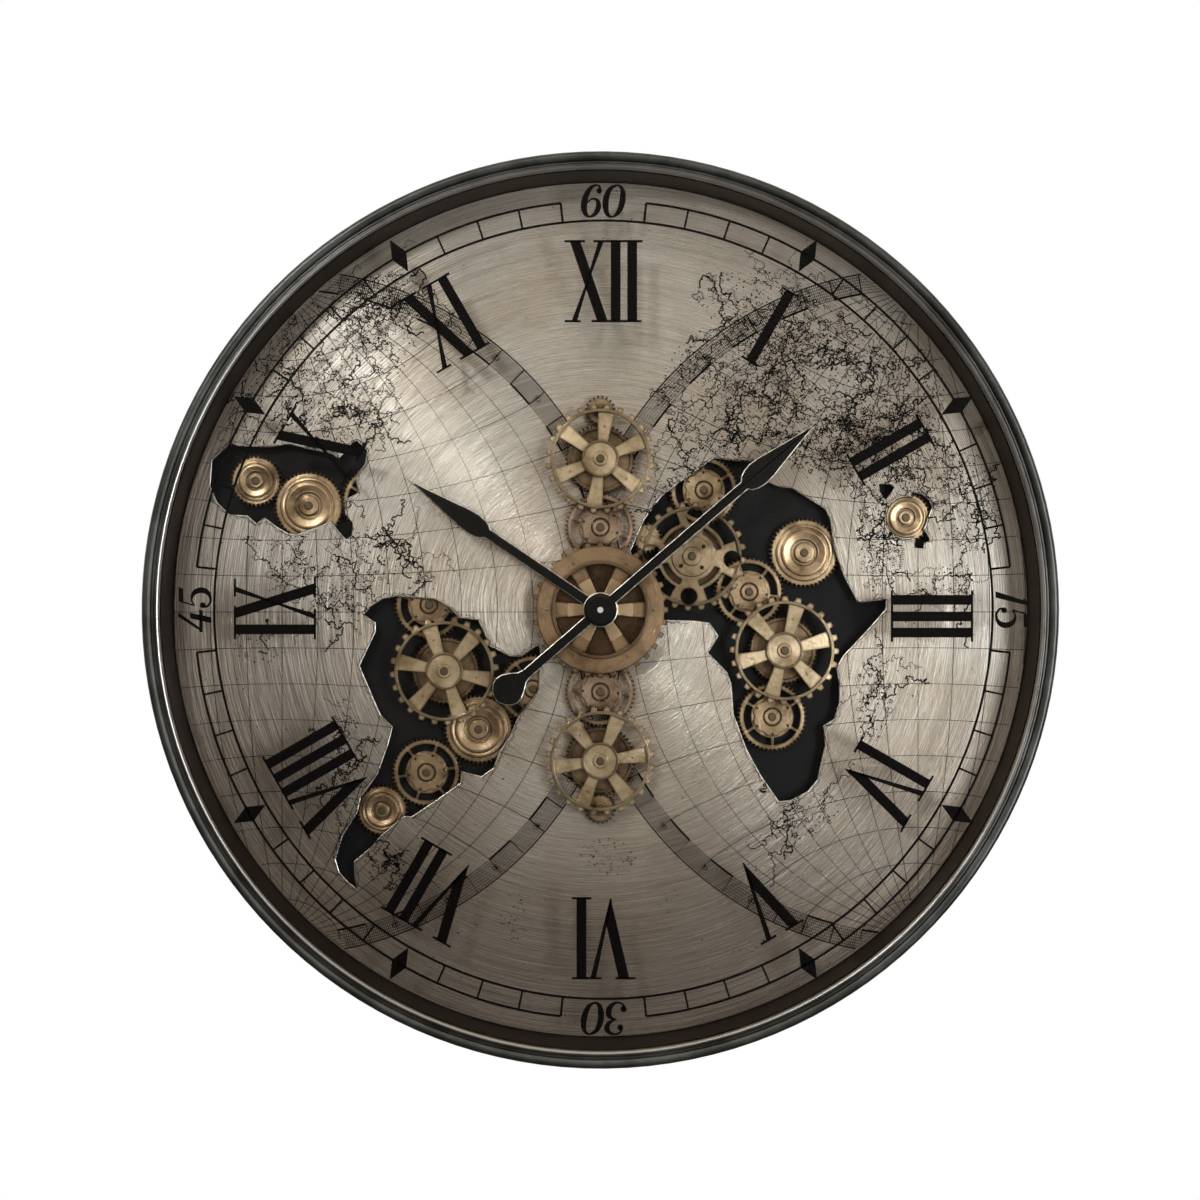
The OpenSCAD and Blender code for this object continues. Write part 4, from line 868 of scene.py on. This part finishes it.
def arcPoints(cx, cy, radius, start, end, step):
    count = max(2, int(abs(end - start) * radius / step))
    turns = [start + (end - start) * i / count for i in range(count + 1)]
    return [(cx + radius * math.cos(a), cy + radius * math.sin(a)) for a in turns]


def drawMeridians(sheet, cx, cy):
    # the globular grid: arcs through the poles, and arcs between equal divisions of rim and middle
    reach, parts, width = mapPrint["reach"], mapPrint["parts"], mapPrint["grid"]
    for i in range(1 - parts, parts):
        if i == 0:
            inkLine(sheet, [(cx, cy - reach + 2 * j) for j in range(int(reach))], width)
            continue
        x = reach * i / parts
        mid = (x * x - reach * reach) / (2 * x)
        r = abs(x - mid)
        half = math.asin(reach / r)
        base = 0 if x > 0 else math.pi
        inkLine(sheet, arcPoints(cx + mid, cy, r, base - half, base + half, 2.2), width)
    for i in range(1 - parts, parts):
        if i == 0:
            inkLine(sheet, [(cx - reach + 2 * j, cy) for j in range(int(reach))], width)
            continue
        y, lat = reach * i / parts, math.pi / 2 * i / parts
        mid = (reach * reach - y * y) / (2 * (reach * math.sin(lat) - y))
        r = abs(mid - y)
        half = math.asin(reach * math.cos(lat) / r)
        base = -math.pi / 2 if i > 0 else math.pi / 2
        inkLine(sheet, arcPoints(cx, cy + mid, r, base - half, base + half, 2.2), width)


def drawBorder(sheet, cx, cy):
    # the scale round each half: outer line, bars, fine lines and hatches, and numbers every ten degrees
    m = mapPrint
    reach, outer = m["reach"], m["reach"] + m["band"]
    inkLine(sheet, arcPoints(cx, cy, outer, 0, math.tau, 2.5), m["outline"])
    inkLine(sheet, arcPoints(cx, cy, reach, 0, math.tau, 2.5), m["grid"])
    step = math.tau / m["marks"]
    for i in range(0, m["marks"], 2):
        inkLine(sheet, arcPoints(cx, cy, reach, step * i, step * (i + 1), 2.5), m["bar"])
    for i in range(1, m["bandLines"]):
        radius = reach + m["band"] * i / m["bandLines"]
        inkLine(sheet, arcPoints(cx, cy, radius, 0, math.tau, 3), m["hatch"])
    pitch = m["hatchPitch"] / outer
    for i in range(int(math.tau / pitch)):
        a = i * pitch
        ends = [(cx + r * math.cos(a), cy + r * math.sin(a)) for r in (reach + 0.5, outer - 0.5)]
        if all(math.hypot(*e) < m["hatchEdge"] for e in ends):
            inkLine(sheet, ends, m["hatch"])
    for i in range(m["marks"]):
        a = step * i
        ends = [(cx + r * math.cos(a), cy + r * math.sin(a)) for r in (reach, (reach + outer) / 2, outer)]
        inkLine(sheet, ends, m["tick"])
        degrees = 5 * i % 180
        degrees = min(degrees, 180 - degrees)
        x, y = ends[1]
        if degrees % 10 or not 0 < degrees < 90 or math.hypot(x, y) >= m["numberEdge"] or not dialSolid(x, y):
            continue
        # the foot of each number points to the middle column
        side = -1 if cx > 0 else 1
        c, s = math.cos(a) * side, math.sin(a) * side
        to = lambda u, v, x=x, y=y, c=c, s=s: (x + s * u - c * v, y - c * u - s * v)
        drawDigits(sheet, str(degrees), to, -m["number"] / 2, m["number"] / 100, 3)


def drawGrid():
    sheet = Sheet(dial["face"] + mapPrint["gridRise"])
    for cx, cy in mapPrint["halves"]:
        drawMeridians(sheet, cx, cy)
        drawBorder(sheet, cx, cy)
    sheet.piece("mapGrid", ink("mapInk", (0.006, 0.005, 0.0045), 0.5))


# coast lines: rough guide points in millimetres from the dial's middle, each with a width
coastGuides = [
    (0.9, [(-197, 302), (-219, 286), (-206, 262), (-216, 247), (-209, 226), (-188, 213), (-186, 196),
           (-199, 180), (-196, 165), (-212, 158)]),
    (0.8, [(-262, 262), (-249, 239), (-258, 226), (-238, 214), (-246, 197), (-232, 188)]),
    (0.9, [(-318, 66), (-301, 44), (-288, 30), (-268, 14), (-243, 5), (-222, -2), (-208, 0)]),
    (0.8, [(-226, 68), (-219, 50), (-205, 40), (-211, 26), (-193, 10), (-178, -4)]),
    (0.7, [(-287, 86), (-279, 66), (-268, 48)]),
    (0.9, [(42, 78), (52, 96), (71, 103), (80, 118), (98, 121), (118, 133), (135, 129), (150, 122)]),
    (0.9, [(60, 128), (72, 150), (66, 170), (84, 186), (101, 181), (108, 205), (93, 226), (112, 246),
           (131, 252)]),
    (0.8, [(95, 150), (121, 157), (143, 147), (160, 160), (188, 150), (205, 163), (224, 149)]),
    (0.9, [(221, 118), (240, 104), (246, 80), (258, 62), (254, 40), (262, 20), (271, 8), (290, 18),
           (318, 34), (330, 52)]),
    (0.8, [(262, 126), (281, 118), (292, 101), (300, 92)]),
    (0.9, [(327, 116), (333, 95), (345, 80), (340, 62), (322, 60)]),
    (0.8, [(252, -54), (262, -70), (259, -92), (246, -114), (236, -104), (240, -78), (252, -54)]),
    (0.8, [(150, -186), (166, -196), (189, -190), (203, -176), (216, -150), (226, -136)]),
    (0.7, [(-232, -92), (-238, -120), (-229, -150), (-238, -182), (-232, -210), (-222, -236)]),
    (0.6, [(140, 316), (162, 298), (190, 303), (214, 288), (240, 276), (262, 251)]),
]
# places crowded with small coasts, rivers and ranges: middle, half width and height, turn, how many lines
crowds = [
    (-236, 236, 74, 62, 40, 64), (-196, 272, 46, 30, 20, 26), (-236, 168, 50, 26, 0, 26),
    (-300, 190, 30, 46, -30, 16), (-196, 36, 52, 34, -30, 20), (-262, 22, 60, 22, -40, 20),
    (-306, -30, 26, 18, 0, 4),
    (120, 205, 74, 56, 30, 62), (196, 196, 82, 60, -20, 84), (170, 260, 90, 34, -20, 42),
    (262, 190, 46, 52, -40, 40), (220, 140, 64, 34, -20, 40), (90, 122, 48, 22, 30, 20),
    (252, 60, 20, 48, 0, 20), (330, 92, 30, 42, 0, 22), (292, 130, 40, 30, -40, 20), (312, 22, 30, 20, 20, 8),
    (246, -80, 16, 40, 0, 12), (186, -188, 34, 16, 30, 10), (-228, -140, 16, 66, 0, 14),
    (-188, -232, 26, 20, 0, 8),
]
crowdMarks = {
    "density": 2.05, "steps": (3, 4, 6, 8, 12, 16), "dots": 5,
    "islands": 0.3, "rivers": 0.5,                     # shares; the rest are mountain ranges
    "rangeStep": 1.6, "rangeLine": 0.5, "riverLines": (0.5, 0.65, 0.9, 1.3),
}
cutCoasts = {"insets": (1.3, 2.6), "step": 3, "line": 0.45}
# speckles: middle, half width and height, how many; then those strewn inwards from the rim
sprinkles = [(6, -222, 26, 17, 80), (-78, -276, 12, 22, 46), (60, -262, 10, 12, 10), (-128, -292, 30, 12, 16),
             (118, -300, 30, 10, 14), (-30, 60, 60, 60, 10), (-300, -60, 30, 90, 14), (250, -40, 60, 60, 16),
             (40, -140, 60, 60, 10), (-120, -170, 60, 60, 12), (150, -220, 60, 40, 12)]
rimSpecks = {"count": 260, "from": 383, "spread": 34}


def ragged(line, rough=0.24, least=1.5):
    # halve every long step again and again, pushing each new point aside
    while True:
        fresh = [line[0]]
        for a, b in zip(line, line[1:]):
            length = math.dist(a, b)
            if length > least:
                push = chance.gauss(0, rough)
                fresh.append(((a[0] + b[0]) / 2 - (b[1] - a[1]) * push,
                              (a[1] + b[1]) / 2 + (b[0] - a[0]) * push))
            fresh.append(b)
        if len(fresh) == len(line):
            return line
        line = fresh


def inEllipse(cx, cy, a, b, turn):
    r, t = math.sqrt(chance.random()), chance.uniform(0, math.tau)
    u, v = a * r * math.cos(t), b * r * math.sin(t)
    c, s = math.cos(math.radians(turn)), math.sin(math.radians(turn))
    return cx + u * c - v * s, cy + u * s + v * c


def cutOutlines():
    # the outlines of the dial's openings, as closed rows of points
    work = bmesh.new()
    work.from_mesh(nodes["dial_plate"].data)
    bmesh.ops.remove_doubles(work, verts=work.verts, dist=1e-6)
    work.normal_update()
    # a dictionary keeps the edges in the mesh's own order, so that every run draws the same map
    edges = dict.fromkeys(frontRim(work))
    loops = []
    while edges:
        edge = next(iter(edges))
        del edges[edge]
        first, last = edge.verts
        loop = [first, last]
        while True:
            follow = next((e for e in last.link_edges if e in edges), None)
            if follow is None:
                break
            del edges[follow]
            last = follow.other_vert(last)
            loop.append(last)
        loops.append([(v.co.x * 1000, (v.co.z + dial["drop"]) * 1000) for v in loop])
    work.free()
    return [line for line in loops if sum(map(math.dist, line, line[1:])) > 90
            and max(math.hypot(*p) for p in line) < 380]


def drawCutCoasts(sheet):
    # broken lines that follow each opening, a little way in from its edge
    for line in cutOutlines():
        for inset in cutCoasts["insets"]:
            side = []
            for a, b in zip(line, line[1:]):
                length = math.dist(a, b) or 1
                count = max(1, int(length / cutCoasts["step"]))
                for i in range(count):
                    t = i / count
                    x, y = a[0] + (b[0] - a[0]) * t, a[1] + (b[1] - a[1]) * t
                    off = inset * chance.uniform(0.6, 1.5)
                    ox, oy = -(b[1] - a[1]) / length * off, (b[0] - a[0]) / length * off
                    side.append((x + ox, y + oy) if dialSolid(x + ox, y + oy) else (x - ox, y - oy))
            while side:
                run = chance.randint(6, 30)
                if len(side[:run]) > 1:
                    inkLine(sheet, ragged(side[:run], 0.2, 1.4), cutCoasts["line"])
                side = side[run + chance.randint(1, 8 if inset < 2 else 20):]


def drawCoasts():
    material = ink("coastInk", (0.005, 0.0045, 0.004), 0.5)
    depth = dial["face"] + mapPrint["coastRise"]
    sheet = Sheet(depth)
    drawCutCoasts(sheet)
    for width, guide in coastGuides:
        line = ragged(guide)
        inkLine(sheet, line, width)
        for x, y in line[::9]:
            inkDot(sheet, x + chance.gauss(0, 3), y + chance.gauss(0, 3), chance.uniform(0.4, 1.0))
    sheet.piece("mapCoasts", material)
    # in three pieces: west, north and east; in three pieces, each light enough for an
    # STL file of its own
    lands = {"mapLandWest": lambda x, y: x < 0, "mapLandNorth": lambda x, y: x >= 0 and y > 192,
             "mapLandEast": lambda x, y: x >= 0 and y <= 192}
    for name, within in lands.items():
        sheet = Sheet(depth)
        for crowd in crowds:
            if within(*crowd[:2]):
                drawCrowd(sheet, *crowd)
        sheet.piece(name, material)


def drawCrowd(sheet, cx, cy, a, b, turn, count):
    m = crowdMarks
    for _ in range(int(count * m["density"])):
        x, y = inEllipse(cx, cy, a, b, turn)
        heading, size = chance.uniform(0, math.tau), chance.choice(m["steps"])
        kind = chance.random()
        if kind < m["islands"]:
            # an island or a lake
            loop = [(x + size * 0.3 * math.cos(t), y + size * 0.2 * math.sin(t))
                    for t in (0, 1.3, 2.6, 3.9, 5.2, 0)]
            inkLine(sheet, ragged(loop, 0.28, 1.5), chance.uniform(0.5, 0.95))
        elif kind < m["islands"] + m["rivers"]:
            line = [(x, y)]
            while len(line) < 4:
                heading += chance.gauss(0, 0.8)
                x, y = x + size * math.cos(heading), y + size * math.sin(heading)
                line.append((x, y))
            inkLine(sheet, ragged(line, 0.3, 1.6), chance.choice(m["riverLines"]))
        else:
            # a mountain range: short strokes either side of a line
            for _ in range(size):
                x, y = x + m["rangeStep"] * math.cos(heading), y + m["rangeStep"] * math.sin(heading)
                heading += chance.gauss(0, 0.12)
                side = heading + math.pi / 2 + chance.gauss(0, 0.3)
                reach = chance.uniform(0.8, 2.2)
                inkLine(sheet, [(x - reach * math.cos(side), y - reach * math.sin(side)),
                                (x + reach * math.cos(side), y + reach * math.sin(side))], m["rangeLine"])
        for _ in range(m["dots"]):
            inkDot(sheet, *inEllipse(cx, cy, a, b, turn), chance.uniform(0.35, 0.95), 5)


def drawSpecks():
    sheet = Sheet(dial["face"] + mapPrint["coastRise"])
    for cx, cy, a, b, count in sprinkles:
        for _ in range(count):
            inkDot(sheet, *inEllipse(cx, cy, a, b, 0), chance.uniform(0.3, 0.9))
    for _ in range(rimSpecks["count"]):
        t, r = chance.uniform(0, math.tau), rimSpecks["from"] - abs(chance.gauss(0, rimSpecks["spread"]))
        inkDot(sheet, r * math.cos(t), r * math.sin(t), chance.uniform(0.25, 0.7))
    sheet.piece("mapSpecks", ink("speckInk", (0.006, 0.005, 0.0045), 0.5))


drawGrid()
drawCoasts()
drawSpecks()
print("map print")


view = {"distance": 1.3, "lens": 44.86, "sensor": 36, "place": (-0.0003, -0.2913), "front": -0.077}
camera = bpy.data.objects.new("camera", bpy.data.cameras.new("camera"))
camera.data.lens = view["lens"]
camera.data.sensor_width = view["sensor"]
camera.data.clip_end = 20
camera.location = (view["place"][0], view["front"] - view["distance"], view["place"][1])
camera.rotation_euler = (math.pi / 2, 0, 0)
bpy.context.scene.collection.objects.link(camera)
bpy.context.scene.camera = camera

aim = Vector((0, -0.03, -dial["drop"]))
lamps = {
    "key": {"from": (-0.43, -0.786, 0.445), "distance": 2.2, "size": (0.2, 0.2), "power": 10.5,
            "tint": (0.99, 1, 1)},
    "right": {"from": (0.58, -0.8, -0.05), "distance": 2.4, "size": (0.6, 1.3), "power": 25,
              "tint": (0.97, 1, 1.03)},
    "low": {"from": (0.4, -0.786, -0.475), "distance": 2.2, "size": (0.1, 0.1), "power": 4.5,
            "tint": (1, 1, 1)},
    "top": {"from": (0.1, -0.7, 0.9), "distance": 2.4, "size": (1.6, 1.0), "power": 5,
            "tint": (1, 0.95, 0.88)},
    "rear": {"from": (0.5, 0.9, 0.5), "distance": 2.6, "size": (1.4, 1.4), "power": 14, "tint": (1, 1, 1)},
}
for name, lamp in lamps.items():
    data = bpy.data.lights.new(name, "AREA")
    data.shape, data.energy, data.color = "RECTANGLE", lamp["power"], lamp["tint"]
    data.size, data.size_y = lamp["size"]
    made = bpy.data.objects.new(name, data)
    way = Vector(lamp["from"]).normalized()
    made.location = aim + way * lamp["distance"]
    made.rotation_euler = (-way).to_track_quat("-Z", "Y").to_euler()
    bpy.context.scene.collection.objects.link(made)

room = {"floor": 0.03, "ceiling": 0.5, "tint": (1, 0.87, 0.73), "paper": (1, 1, 1, 1)}


def paperSeen(place):
    # 1 for a ray from the eye, straight or through the glass
    ray = place.add("ShaderNodeLightPath")
    return ray.math("MAXIMUM", ray.other("Is Transmission Ray"))


def lightRoom():
    world = bpy.data.worlds.new("studio")
    bpy.context.scene.world = world
    world.use_nodes = True
    world.node_tree.nodes.clear()
    way = Wire(world.node_tree, None).add("ShaderNodeTexCoord")
    parts = way.add("ShaderNodeSeparateXYZ", None, {"Vector": way})
    glow = parts.other("Z").between(-0.5, 0.6, room["floor"], room["ceiling"])
    shade = way.add("ShaderNodeBackground", None,
                    {"Color": glow.blend((0, 0, 0), room["tint"]), "Strength": 1.0})
    paper = way.add("ShaderNodeBackground", None, {"Color": room["paper"], "Strength": 1.0})
    # the paper behind the clock is white also in metal that mirrors it
    seen = paperSeen(way)
    mirrored = seen.add("ShaderNodeLightPath").other("Is Glossy Ray") * parts.other("Y").between(0.05, 0.3)
    shown = way.add("ShaderNodeMixShader", None, {0: seen.math("MAXIMUM", mirrored), 1: shade, 2: paper})
    way.add("ShaderNodeOutputWorld", None, {"Surface": shown})


def paperWhite():
    material, place = startMaterial("paperWhite")
    tone = noise(place, 3, 3, 0.5).between(0.3, 0.7).blend((0.15, 0.145, 0.14), (0.19, 0.185, 0.18))
    matt = place.add("ShaderNodeBsdfDiffuse", None, {"Color": tone})
    white = place.add("ShaderNodeEmission", None, {"Color": room["paper"], "Strength": 1.0})
    mixed = place.add("ShaderNodeMixShader", None, {0: paperSeen(place), 1: matt, 2: white})
    place.add("ShaderNodeOutputMaterial", None, {"Surface": mixed})
    return material


def layFloor():
    # the clock hangs well above it, with nothing behind, so that it can be seen from all sides
    size = {"half": 4.0, "below": -1.12}
    corners = [(size["half"] * i, size["half"] * j, size["below"])
               for i, j in ((-1, -1), (1, -1), (1, 1), (-1, 1))]
    mesh = bpy.data.meshes.new("floor")
    mesh.from_pydata(corners, [], [[0, 1, 2, 3]])
    mesh.materials.append(paperWhite())
    made = bpy.data.objects.new("floor", mesh)
    bpy.context.scene.collection.objects.link(made)


lightRoom()
layFloor()
bpy.context.scene.view_settings.view_transform = "Standard"
print("camera, lamps and floor")
